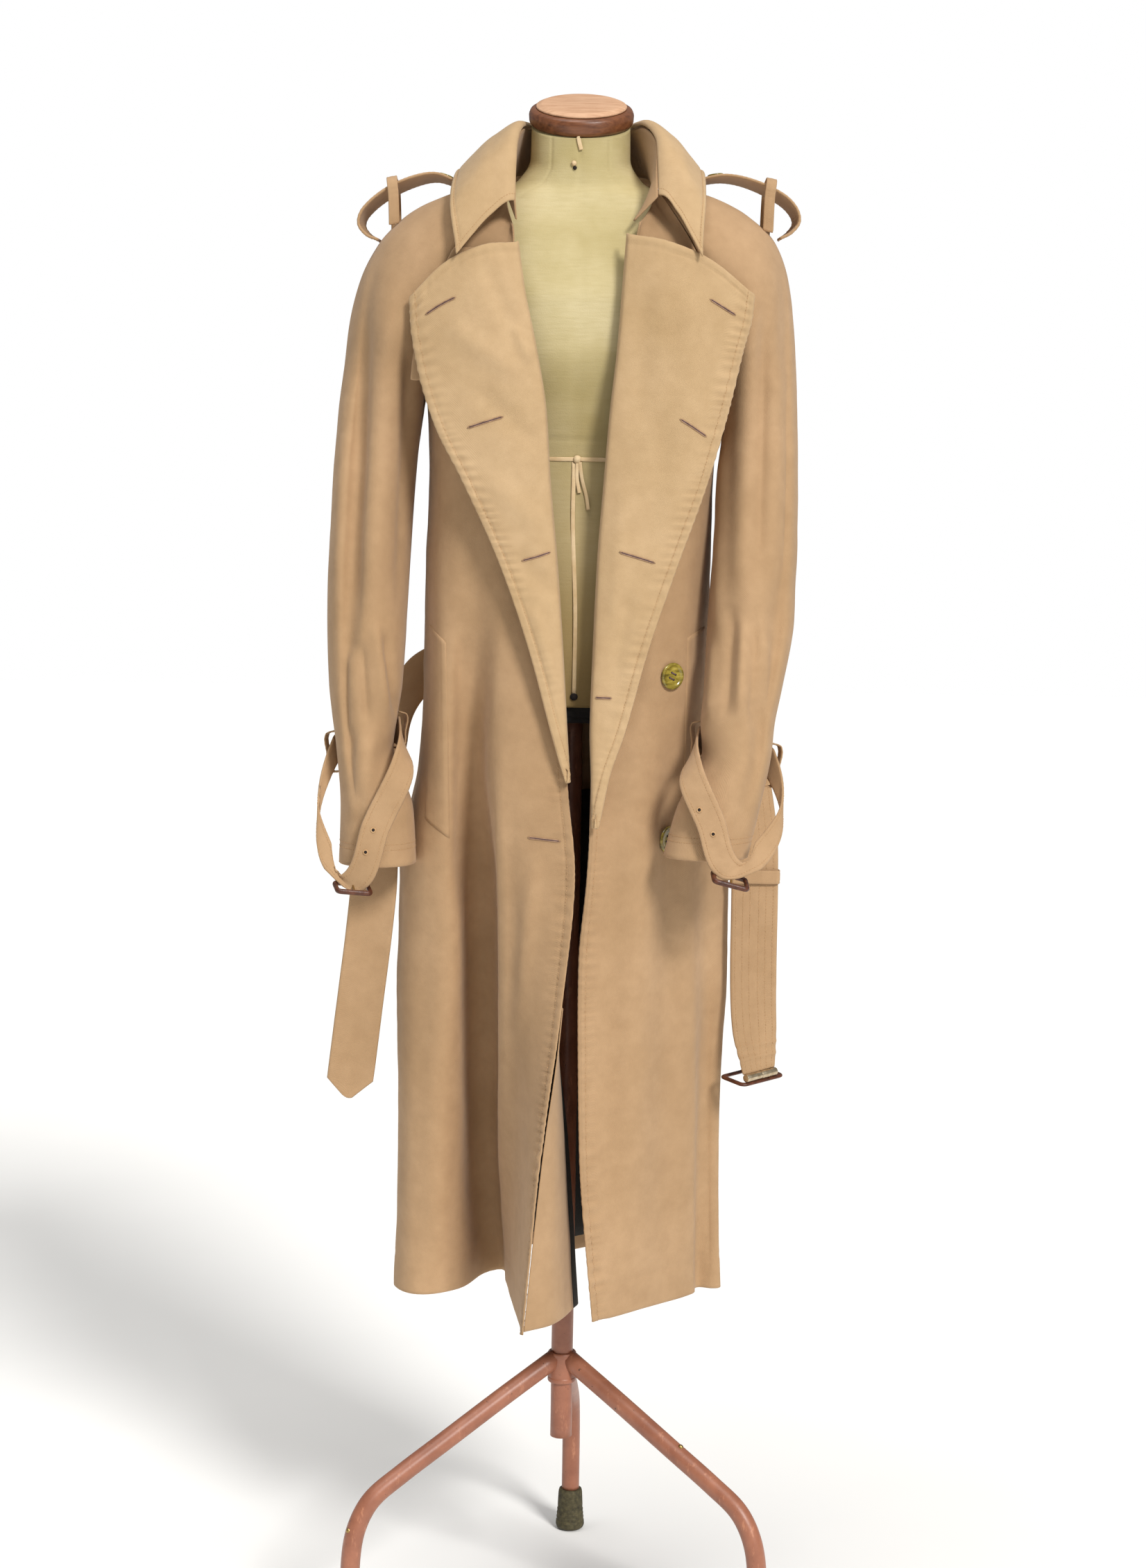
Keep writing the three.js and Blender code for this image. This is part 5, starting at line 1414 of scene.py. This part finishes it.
def frame_path(place, long_axis, short_axis, size, lift=0.5):
    """A rounded rectangle, through the middle of the frame's rim."""
    long_axis = unit(np.array(long_axis, float))
    up = unit(np.cross(long_axis, short_axis))
    short_axis = np.cross(up, long_axis)
    x, y = (size["long"] - size["rim"]) / 2, (size["short"] - size["rim"]) / 2
    corner = size["rim"] * 0.9
    path = []
    for k, (sx, sy) in enumerate([(1, 1), (-1, 1), (-1, -1), (1, -1)]):
        for t in np.linspace(0, math.pi / 2, 7):
            a = k * math.pi / 2 + t
            path.append([sx * (x - corner) + corner * math.cos(a), sy * (y - corner) + corner * math.sin(a)])
        following = [(-1, 1), (-1, -1), (1, -1), (1, 1)][k]
        start = np.array(path[-1])
        turn = (k + 1) * math.pi / 2
        stop = [following[0] * (x - corner) + corner * math.cos(turn),
                following[1] * (y - corner) + corner * math.sin(turn)]
        path += [list(start + (np.array(stop) - start) * t) for t in np.linspace(0, 1, 8)[1:-1]]
    base = np.array(place, float) + up * size["thick"] * lift
    return np.array([base + a * long_axis + b * short_axis for a, b in path]), up, short_axis


def buckle(name, node, place, long_axis, short_axis, size, padding=1.0):
    """A leather-covered frame and its prong; padding makes the rim thicker than the bare frame."""
    path, up, short_axis = frame_path(place, long_axis, short_axis, size)
    flat = padding * size["thick"] / size["rim"]
    stand_in(tube(name, path, size["rim"] / 2, LEATHER, 14, closed=True, flat=flat), node)
    middle = path.mean(0)
    reach = (size["short"] - size["rim"]) / 2
    prong = [middle + short_axis * reach * t + up * (1.5 + 1.2 * math.cos(t * 1.4)) for t in even(14, -1)]
    small(tube(name + "_prong", prong, PRONG_RADIUS, BRASS, 10))


buckle("belt_frame", "belt_buckle", [212, -22, 651.2], BELT_LONG, BELT_SHORT, BELT_FRAME)
buckle("cuff_frame_right", "cuff_buckle_right", [-238, -122, 878], [0.95, 0.25, -0.1], [-0.25, 0.95, 0.2],
       CUFF_FRAME, CUFF_PADDING)
buckle("cuff_frame_left", "cuff_buckle_left", [172, -192, 904], [0.95, 0.1, -0.25], [0.1, 0.95, 0.2],
       CUFF_FRAME, CUFF_PADDING)

length, radius = ROLLER["length"], ROLLER["radius"]
profile = [[0, 0], [radius, 0], [radius, length * 0.49], [radius - 0.5, length * 0.49],
           [radius - 0.5, length * 0.51], [radius, length * 0.51], [radius, length], [0, length]]
roller = turned("belt_roller_tube", rounded(profile, 0.3, 3), [203, -53, 657], BELT_LONG, ROLLER_METAL, 32)
stand_in(roller, "belt_roller")


# The dress form and its stand
def form_ring(z, angle, share=1.0):
    """Points of the dress form at a height; lean tips the section forwards or back."""
    half, front, back, lean = (read(FORM, name, z) for name in ("half", "front", "back", "lean"))
    x = half * bowed(np.cos(angle), FORM_FULLNESS) * share
    deep = np.where(np.sin(angle) < 0, front, back)
    y = deep * bowed(np.sin(angle), FORM_FULLNESS) * share
    return np.stack([x, y, z + y * lean + 0 * x], -1)


FORM_SEAMS = [-90, 90, -58, -122, 58, 122]      # degrees round the form
FORM_WAIST_Z = 1372
form_angles = circle(200)
form_heights = even(210, FORM[0]["z"], FORM[-1]["z"])


def form_point(z, angle, out=0.0):
    """A point off the form's linen."""
    ring = form_ring(z, np.array([angle - 0.01, angle, angle + 0.01]))
    upper = form_ring(z + 1, np.array([angle]))[0]
    normal = unit(np.cross(ring[2] - ring[0], upper - ring[1]))
    return ring[1] + normal * out


def form_rings():
    """The form's linen, with its seams drawn in and a little unevenness."""
    rings = []
    for z in form_heights:
        ring = form_ring(z, form_angles)
        centre = ring.mean(0)
        inward = unit(centre - ring)
        deep = np.zeros(len(ring))
        distance = np.linalg.norm(ring - centre, axis=1)
        for seam_at in FORM_SEAMS:
            gap = np.angle(np.exp(1j * (form_angles - math.radians(seam_at)))) * distance
            deep += 0.9 * np.exp(-((gap / 1.6) ** 2))
        deep += 0.8 * math.exp(-(((z - FORM_WAIST_Z) / 1.8) ** 2))
        deep += 0.5 * noise(ring, 60, 101) + 0.2 * noise(ring, 14, 103)
        rings.append(ring + inward * deep[:, None])
    return rings


stand_in(skin("form_body", form_rings(), LINEN), "form_torso")

base_low = FORM_BASE["low"]
base_rings = []
for t in even(24):
    z = base_low + (FORM[0]["z"] - FORM_BASE["gap"] - base_low) * t
    tuck = FORM_BASE["share"] * (1 - 0.03 * (1 - t) - 0.015 * math.exp(-(((t - 0.35) / 0.05) ** 2)))
    ring = form_ring(FORM[0]["z"], form_angles, tuck)
    ring[:, 2] = z + (ring[:, 2] - FORM[0]["z"]) * t
    base_rings.append(ring)
stand_in(skin("form_foot_band", base_rings, BAND), "form_base")

cap_ring = turned("neck_cap_ring", rounded(CAP_RING, 1.6, 5), CAP_FOOT, CAP_AXIS, MAHOGANY, 96)
stand_in(cap_ring, "cap_ring")
cap_place = np.array(CAP_FOOT) + unit(np.array(CAP_AXIS, float)) * (CAP_HEIGHT + 0.4)
cap_top = turned("neck_cap_top", rounded(CAP_TOP, 1.2, 5), cap_place, CAP_AXIS, PALE_WOOD, 96)
stand_in(cap_top, "cap_top")


def post_wear(angle, radius, height):
    """The post's tube isn't quite round."""
    return 0.12 * np.sin(angle * 3 + height * 0.05)


POST_TOP_Z = 1061.5
heights = even(60, 0, POST_TOP_Z - POST_FOOT_Z)
post_profile = [[0, 0], *[[TUBE, h] for h in heights], [0, heights[-1]]]
post = turned("stand_post", post_profile, [0, 0, POST_FOOT_Z], [0, 0, 1], PAINT, 40, post_wear)
stand_in(post, "post")

hub_low = HUB_Z - 18
hub_profile = [[12.8, 0], [15.5, 0], [16.5, 1.5], [16.5, 5], [15.9, 6], [15.9, 30], [16.5, 31], [16.5, 34.5],
               [15.5, 36], [12.8, 36]]
hub_rings = []
hub_angles = form_angles[::4]
for radius, height in [*rounded(hub_profile, 0.6, 3), hub_profile[0]]:
    hub_rings.append(np.column_stack([radius * np.cos(hub_angles), radius * np.sin(hub_angles),
                                      np.full(len(hub_angles), hub_low + height)]))
hub = skin("stand_hub", hub_rings, PAINT, cap=False)
weld(hub)
stand_in(hub, "hub")

foot_profile = [[0, 0], [16, 0], [17, 1], [18, 4], [17.6, 9], [16.9, 10], [17.2, 14], [16.5, 15], [16.8, 19],
                [16.1, 20], [16.4, 24], [15.7, 25], [15.8, 30], [15.0, 46], [14, 50], [0, 50]]
LEG_END_RADIUS = 9      # each leg's end is inside the hub, this far from its middle
leg_lines = {}
for name, heading in LEGS.items():
    out = np.array([math.cos(math.radians(heading)), math.sin(math.radians(heading))])
    line = along([[*(out * row["r"]), row["z"]] for row in LEG_BEND], even(90))
    inward = unit(line[0] - line[1])
    reach = (LEG_BEND[0]["r"] - LEG_END_RADIUS) / -(inward[:2] @ out)
    welded = np.vstack([line[0] + inward * reach, line])
    stand_in(tube(f"stand_leg_{name}", welded, LEG_TUBE, PAINT, 28), f"leg_{name}")
    leg_lines[name] = line
    foot = turned(f"stand_foot_{name}", rounded(foot_profile, 0.5, 3), [*(out * LEG_RADIUS), 0], [0, 0, 1],
                  RUBBER, 48)
    stand_in(foot, f"foot_{name}")


# Small things that are placed where the photograph shows them
def surface_line(panel, start, stop, count=14, out=0.4, side=0.0):
    """Points between two pixels on a panel, moved off it and to one side."""
    first, last = np.array(panel.find(*start)), np.array(panel.find(*stop))
    spots = [first + (last - first) * t for t in even(count)]
    u, v = np.array(spots).T
    line = panel.place(u, v, out)
    normal = unit(panel.place(u, v, 1.0) - panel.place(u, v))
    return line + np.cross(unit(np.gradient(line, axis=0)), normal) * side


def buttonhole(name, panel, start, stop, half=1.0, out=0.4):
    """A slit with closely stitched lips; the slit is a thin dark tube of painted shade."""
    near, far = (surface_line(panel, start, stop, out=out, side=way * half) for way in (1, -1))
    middle = surface_line(panel, start, stop, out=out)
    first, last = middle[0] * 2 - middle[2], middle[-1] * 2 - middle[-3]
    path = np.array([*near, last * 0.5 + middle[-1] * 0.5, *far[::-1], first * 0.5 + middle[0] * 0.5])
    small(tube(name + "_lips", path, 0.6, LIP_THREAD, 8, closed=True))
    # The slit: a thin dark tube of painted shade.
    small(tube(name + "_slit", surface_line(panel, start, stop, out=out), 0.55, DARK_THREAD_AND_SLIT_SHADE, 8, flat=0.6))


BUTTONHOLES = table("panel start stop", [
    ["lapel_right", [616, 452], [654, 430]], ["lapel_right", [677, 616], [722, 602]],
    ["lapel_right", [755, 808], [791, 797]], ["front_right", [764, 1208], [805, 1213]],
    ["lapel_left", [1026, 433], [1058, 453]], ["lapel_left", [983, 606], [1016, 628]],
    ["lapel_left", [896, 797], [941, 811]], ["lapel_left", [860, 1006], [880, 1007]],
    ["pocket_welt_right", [609, 1046], [627, 1055]],
])
for k, hole in enumerate(BUTTONHOLES):
    buttonhole(f"coat_buttonhole_{k + 1}", panels[hole["panel"]], hole["start"], hole["stop"])


def ring_on(panel, u, v, radius, out):
    """A circle that lies on a panel."""
    centre, normal = panel.place(u, v, out), panel.normal_at(u, v)
    first = unit(np.cross(normal, [0.1, 0.2, 1.0]))
    second = np.cross(normal, first)
    angle = circle(20)
    return centre + radius * (np.cos(angle)[:, None] * first + np.sin(angle)[:, None] * second)


def eyelet(name, panel, pixel):
    """A sewn ring round a hole, whose darkness is a thin dark disc of painted shade."""
    u, v = panel.find(*pixel)
    small(tube(name + "_ring", ring_on(panel, u, v, 2.4, 0.3), 0.75, THREAD, 8, closed=True))
    # The hole: a thin dark disc of painted shade.
    small(turned(name + "_hole", [[0, 0], [1.9, 0], [1.9, 0.3], [0, 0.3]], panel.place(u, v, 0.2),
                 panel.normal_at(u, v), HOLE_SHADE_AND_DARK_HEADS, 20))


EYELETS = table("panel pixel", [
    ["cuff_strap_right", [538, 1197]], ["cuff_strap_right", [527, 1229]],
    ["cuff_strap_left", [1008, 1168]], ["cuff_strap_left", [1028, 1203]],
    ["belt", [536, 1319]], ["belt", [526, 1387]], ["belt", [514, 1455]],
])
for k, hole in enumerate(EYELETS):
    eyelet(f"coat_eyelet_{k + 1}", panels[hole["panel"]], hole["pixel"])


def button(name, node, place, axis, radius, thick, material=HORN):
    """A turned button with a raised rim, a sunk middle and four sewn holes; each hole is a thin dark disc of
    painted shade.
    """
    axis = unit(axis)
    outline = [[0, 0], [0.8, 0], [0.95, 0.3], [1, 0.55], [0.96, 0.9], [0.86, 1], [0.76, 0.9], [0.68, 0.68],
               [0, 0.62]]
    profile = rounded([[r * radius, h * thick] for r, h in outline], 0.5, 4)
    stand_in(turned(name, profile, place, axis, material, 64), node)
    first = unit(np.cross(axis, [0.5, 0.1, 1.0]))
    second = np.cross(axis, first)
    gap = radius * 0.2
    hole = [[0, 0], [radius * 0.085, 0], [radius * 0.085, 0.12], [0, 0.12]]
    for letter, way in (("a", 1), ("b", -1)):
        ends = [place + axis * thick * 0.63 + second * gap * way + first * gap * t for t in (-1, 1)]
        for k, end in enumerate(ends):
            # Each hole is a thin dark disc of painted shade.
            small(turned(f"{name}_hole_{k + 1}_{letter}", hole, end, axis, HOLE_SHADE_AND_DARK_HEADS, 16))
        middle = (ends[0] + ends[1]) / 2
        thread = [middle + first * gap * 1.05 * t + axis * (0.5 - 0.4 * t * t) for t in even(9, -1)]
        small(tube(f"{name}_thread_{letter}", thread, radius * 0.05, DARK_THREAD_AND_SLIT_SHADE, 8))


FRONT_BUTTON = {"radius": 15, "thick": 4, "lift": 0.6}
front = panels["front_left"]
for name, x, z in [("upper", 108, 1117), ("lower", 106, 935)]:
    u, v = front.find(x, z, view=over_front)
    button(f"coat_front_button_{name}", f"coat_button_{name}", front.place(u, v, FRONT_BUTTON["lift"]),
           front.normal_at(u, v), FRONT_BUTTON["radius"], FRONT_BUTTON["thick"])
for side in SIDES:
    strap, share = panels[f"epaulette_{side}"], STRAP_BUTTON["share"]
    button(f"coat_shoulder_button_{side}", f"epaulette_button_{side}", strap.place(share, 0.5, 0.5),
           strap.normal_at(share, 0.5), STRAP_BUTTON["radius"], STRAP_BUTTON["thick"])


# The form's tapes, pin and nail
front_angles = np.radians(even(90, -130, -50))
form_front = np.array([form_ring(z, front_angles) for z in form_heights])


def on_form(px, py, out=1.0):
    """The place on the form that shows at a pixel of the photograph."""
    pixels = seen(form_front)
    j, i = np.unravel_index(np.argmin(np.hypot(pixels[..., 0] - px, pixels[..., 1] - py)), pixels.shape[:2])
    return form_point(form_heights[j], front_angles[i], out)


def tape(name, pixels, wide, out=0.9):
    """A flat tape on the form, through pixels of the photograph."""
    points = [on_form(x, y, out) for x, y in pixels]
    line = along(np.array(points), even(40))
    small(tube(name, line, 0.4, TAPE, 12, flat=wide / 0.8))


tape("form_neck_tape", [(836, 186), (834, 200), (837, 216)], 4.5, 1.5)
tape("form_tie_long", [(834, 668), (838, 690), (846, 715), (848, 736)], 4, 3.0)
tape("form_tie_short", [(832, 668), (830, 690), (834, 712)], 4, 2.2)
tape("form_centre_tape", [(829, 668), (828, 760), (827, 880), (826, 1000)], 4.5)
waist_z = on_form(828, 662)[2]
waist = form_ring(waist_z, form_angles)
waist += unit(waist - waist.mean(0)) * 0.9
small(tube("form_waist_tape", waist, 0.4, TAPE, 10, closed=True, flat=6))


def dome(name, place, axis, radius, height, material):
    """A rounded head: of a nail, a pin or a knot."""
    profile = [[radius * math.cos(a), height * math.sin(a)] for a in even(8, 0, math.pi / 2)]
    return small(turned(name, [[0, 0], *profile[:-1], [0, height]], place, axis, material, 24))


dome("form_nail", on_form(825, 1005, 0.6), on_form(825, 1005, 2) - on_form(825, 1005), 4.2, 2.2, HOLE_SHADE_AND_DARK_HEADS)
dome("form_pin_head", on_form(828, 237, 1.2), on_form(828, 237, 2) - on_form(828, 237), 3.0, 3.0, TAPE)
dome("form_pin_foot", on_form(829, 243, 0.8), on_form(829, 243, 2) - on_form(829, 243), 2.2, 1.6, HOLE_SHADE_AND_DARK_HEADS)
dome("form_tie_knot", on_form(833, 664, 1.5), [0.1, -1, 0], 4.5, 3.5, TAPE)

# Small nubs on the two front legs
LEG_NUBS = table("name pixel way", [
    ["left", [983, 2086], [0.45, -0.3, 0.84]], ["right", [530, 2217], [-0.6, -0.5, 0.6]],
])
for nub_row in LEG_NUBS:
    name, pixel, way = (nub_row[column] for column in ("name", "pixel", "way"))
    line = leg_lines[name]
    spot_at = line[np.argmin(np.hypot(*(seen(line) - np.array(pixel)).T))]
    nub_axis = unit(np.array(way, float))
    nub = dome(f"stand_nub_{name}", spot_at + nub_axis * (LEG_TUBE - 0.6), nub_axis, 3.2, 3.0, BRASS)


# Topstitching, set out along its lines by one node tree
def stitch_tree():
    """A node tree that sets a bead of thread at each step along the lines it is given."""
    tree = bpy.data.node_groups.new("stitches_along_lines", "GeometryNodeTree")
    for name, kind in [("Lines", "Geometry"), ("Pitch", "Float"), ("Length", "Float"), ("Width", "Float"),
                       ("Thread", "Material")]:
        tree.interface.new_socket(name=name, in_out="INPUT", socket_type="NodeSocket" + kind)
    tree.interface.new_socket(name="Stitches", in_out="OUTPUT", socket_type="NodeSocketGeometry")

    def node(kind, **settings):
        made = tree.nodes.new(kind)
        for key, value in settings.items():
            setattr(made, key, value)
        return made

    start, end = node("NodeGroupInput"), node("NodeGroupOutput")
    curve = node("GeometryNodeMeshToCurve")
    steps = node("GeometryNodeResampleCurve", mode="LENGTH")
    tangent = node("GeometryNodeInputTangent")
    turn = node("FunctionNodeAlignRotationToVector", axis="Z")
    bead = node("GeometryNodeMeshUVSphere")
    bead.inputs["Segments"].default_value = 5
    bead.inputs["Rings"].default_value = 3
    bead.inputs["Radius"].default_value = 0.5
    size = node("ShaderNodeCombineXYZ")
    copies = node("GeometryNodeInstanceOnPoints")
    solid = node("GeometryNodeRealizeInstances")
    colour = node("GeometryNodeSetMaterial")
    link = tree.links.new
    link(start.outputs["Lines"], curve.inputs["Mesh"])
    link(curve.outputs["Curve"], steps.inputs["Curve"])
    link(start.outputs["Pitch"], steps.inputs["Length"])
    link(tangent.outputs["Tangent"], turn.inputs["Vector"])
    for axis, name in zip("XYZ", ("Width", "Width", "Length")):
        link(start.outputs[name], size.inputs[axis])
    link(steps.outputs["Curve"], copies.inputs["Points"])
    link(bead.outputs["Mesh"], copies.inputs["Instance"])
    link(turn.outputs["Rotation"], copies.inputs["Rotation"])
    link(size.outputs["Vector"], copies.inputs["Scale"])
    link(copies.outputs["Instances"], solid.inputs["Geometry"])
    link(solid.outputs["Geometry"], colour.inputs["Geometry"])
    link(start.outputs["Thread"], colour.inputs["Material"])
    link(colour.outputs["Geometry"], end.inputs["Stitches"])
    return tree


STITCHES = stitch_tree()
STITCH_LIFT = 0.1


def stitch(name, lines, pitch=3.2, length=2.5, width=0.75, thread=THREAD):
    """Runs the node tree along some lines and keeps the result as a plain mesh."""
    points, edges = [], []
    for line in lines:
        edges += [(len(points) + k, len(points) + k + 1) for k in range(len(line) - 1)]
        points += to_world(line).tolist()
    mesh = bpy.data.meshes.new(name + "_lines")
    mesh.from_pydata(points, edges, [])
    carrier = bpy.data.objects.new(name + "_lines", mesh)
    bpy.context.scene.collection.objects.link(carrier)
    modifier = carrier.modifiers.new("stitches", "NODES")
    modifier.node_group = STITCHES
    sizes = {"Pitch": pitch / 1000, "Length": length / 1000, "Width": width / 1000, "Thread": thread}
    for item in STITCHES.interface.items_tree:
        if item.in_out == "INPUT" and item.name in sizes:
            modifier[item.identifier] = sizes[item.name]
    graph = bpy.context.evaluated_depsgraph_get()
    made = bpy.data.meshes.new_from_object(carrier.evaluated_get(graph), depsgraph=graph)
    bpy.data.objects.remove(carrier)
    small(finish_object(name, made, None))


for side in SIDES:
    lapel, front = panels[f"lapel_{side}"], panels[f"front_{side}"]
    low = np.mean(front.grid[:, -1, 2] < LAPEL_FOOT_Z[side] + 20)
    start, stop = (0, low) if front.grid[0, 0, 2] < front.grid[-1, 0, 2] else (1 - low, 1)
    lines = [lapel.inset(EDGE_STITCH, "u1", STITCH_LIFT), lapel.inset(TOP_STITCH, "v0", STITCH_LIFT),
             front.inset(EDGE_STITCH, "u1", STITCH_LIFT, start, stop)]
    for node, distance, edges in [("pocket_welt", WELT_STITCH, ("u0", "u1", "v0", "v1")),
                                  ("epaulette", STRAP_STITCH, ("v0", "v1"))]:
        lines += [panels[f"{node}_{side}"].inset(distance, edge, STITCH_LIFT) for edge in edges]
    for half in ("front", "back"):
        lines += [panels[f"sleeve_{half}_{side}"].inset(at, "v1", STITCH_LIFT) for at in CUFF_STITCHES]
    lines += [panels[f"cuff_strap_{side}"].inset(STRAP_STITCH, edge, STITCH_LIFT) for edge in ("v0", "v1")]
    stitch(f"coat_stitches_{side}", lines)
collar = panels["collar_fall"]
collar_lines = [collar.inset(COLLAR_STITCH, edge, STITCH_LIFT) for edge in ("u1", "v0", "v1")]
belt_lines = [belt.inset(at, edge, STITCH_LIFT) for at in BELT_STITCHES for edge in ("v0", "v1")]
stitch("coat_stitches_collar", collar_lines)
stitch("coat_stitches_belt", belt_lines, pitch=3.6)


RESTS = {"collar_fall": ["coat_collar_stand"], "lining_back": ["coat_back_right", "coat_back_left"],
         "belt": ["coat_belt_loop_back_right", "coat_belt_loop_back_left"], "belt_keeper": ["coat_belt"],
         "gun_flap": ["coat_front_right"], "facing_right": ["coat_front_right"],
         "lining_right": ["coat_facing"], "collar_stand": ["form_body"]}
for node, panel in panels.items():
    width, length = float(panel.across[:, -1].max()) / 1000, float(panel.down[-1].max()) / 1000
    side = "right" if node.endswith("right") else "left"
    kind = node.replace("_" + side, "")
    rests = {"front": "form_body", "back": "form_body", "sleeve_front": f"coat_front_{side}",
             "sleeve_back": f"coat_back_{side}", "lapel": f"coat_front_{side}",
             "pocket_welt": f"coat_front_{side}", "epaulette": f"coat_sleeve_front_{side}",
             "cuff_strap": f"coat_sleeve_front_{side}"}.get(kind)
    loop_rests = f"coat_back_{side}" if "belt" in kind else f"coat_sleeve_front_{side}"
    rests = RESTS.get(node) or [rests or loop_rests]


# Camera, floor and light
def add_camera():
    """The photograph's viewpoint."""
    data = bpy.data.cameras.new("photo_camera")
    data.lens = 36 * CAMERA["focal"] / PHOTO[1]
    data.clip_start, data.clip_end = 0.1, 50
    camera = bpy.data.objects.new("photo_camera", data)
    turn = Matrix.Rotation(math.pi / 2 - CAMERA["pitch"], 4, "X") @ Matrix.Rotation(CAMERA["roll"], 4, "Z")
    camera.matrix_world = Matrix.Translation(Vector(to_world(CAMERA["at"]))) @ turn
    bpy.context.scene.collection.objects.link(camera)
    bpy.context.scene.camera = camera


def add_floor():
    """A plain pale floor, just under the feet."""
    mesh = bpy.data.meshes.new("floor")
    corners = [(-12, -12), (12, -12), (12, 12), (-12, 12)]
    mesh.from_pydata([(x, y, -0.002) for x, y in corners], [], [(0, 1, 2, 3)])
    floor = bpy.data.objects.new("floor", mesh)
    bpy.context.scene.collection.objects.link(floor)
    mesh.materials.append(plain("pale_floor", "FCFCFB", "F9F9F8", 0.9, per_metre=2))


def add_sun(name, direction, strength, softness):
    """Soft studio light from one direction; softness is its spread in degrees."""
    data = bpy.data.lights.new(name, "SUN")
    data.energy, data.angle, data.color = strength, math.radians(softness), (1, 0.98, 0.95)
    sun = bpy.data.objects.new(name, data)
    sun.rotation_euler = Vector(direction).to_track_quat("Z", "Y").to_euler()
    bpy.context.scene.collection.objects.link(sun)


def add_world(strength):
    """A white studio: it looks white behind the coat, and lights it less strongly than that."""
    world = bpy.data.worlds.new("studio")
    world.use_nodes = True
    tree = world.node_tree
    background, white = tree.nodes["Background"], tree.nodes.new("ShaderNodeBackground")
    path, mix = tree.nodes.new("ShaderNodeLightPath"), tree.nodes.new("ShaderNodeMixShader")
    background.inputs["Color"].default_value = (1, 1, 1, 1)
    background.inputs["Strength"].default_value = strength
    white.inputs["Color"].default_value = (1, 1, 1, 1)
    tree.links.new(path.outputs["Is Camera Ray"], mix.inputs["Fac"])
    tree.links.new(background.outputs["Background"], mix.inputs[1])
    tree.links.new(white.outputs["Background"], mix.inputs[2])
    tree.links.new(mix.outputs["Shader"], tree.nodes["World Output"].inputs["Surface"])
    bpy.context.scene.world = world


add_camera()
add_floor()
add_world(0.26)
add_sun("key", (0.62, -1.1, 0.92), 2.55, 14)
add_sun("overhead", (-0.1, -0.2, 1.0), 1.35, 36)
bpy.context.scene.view_settings.view_transform = "Standard"
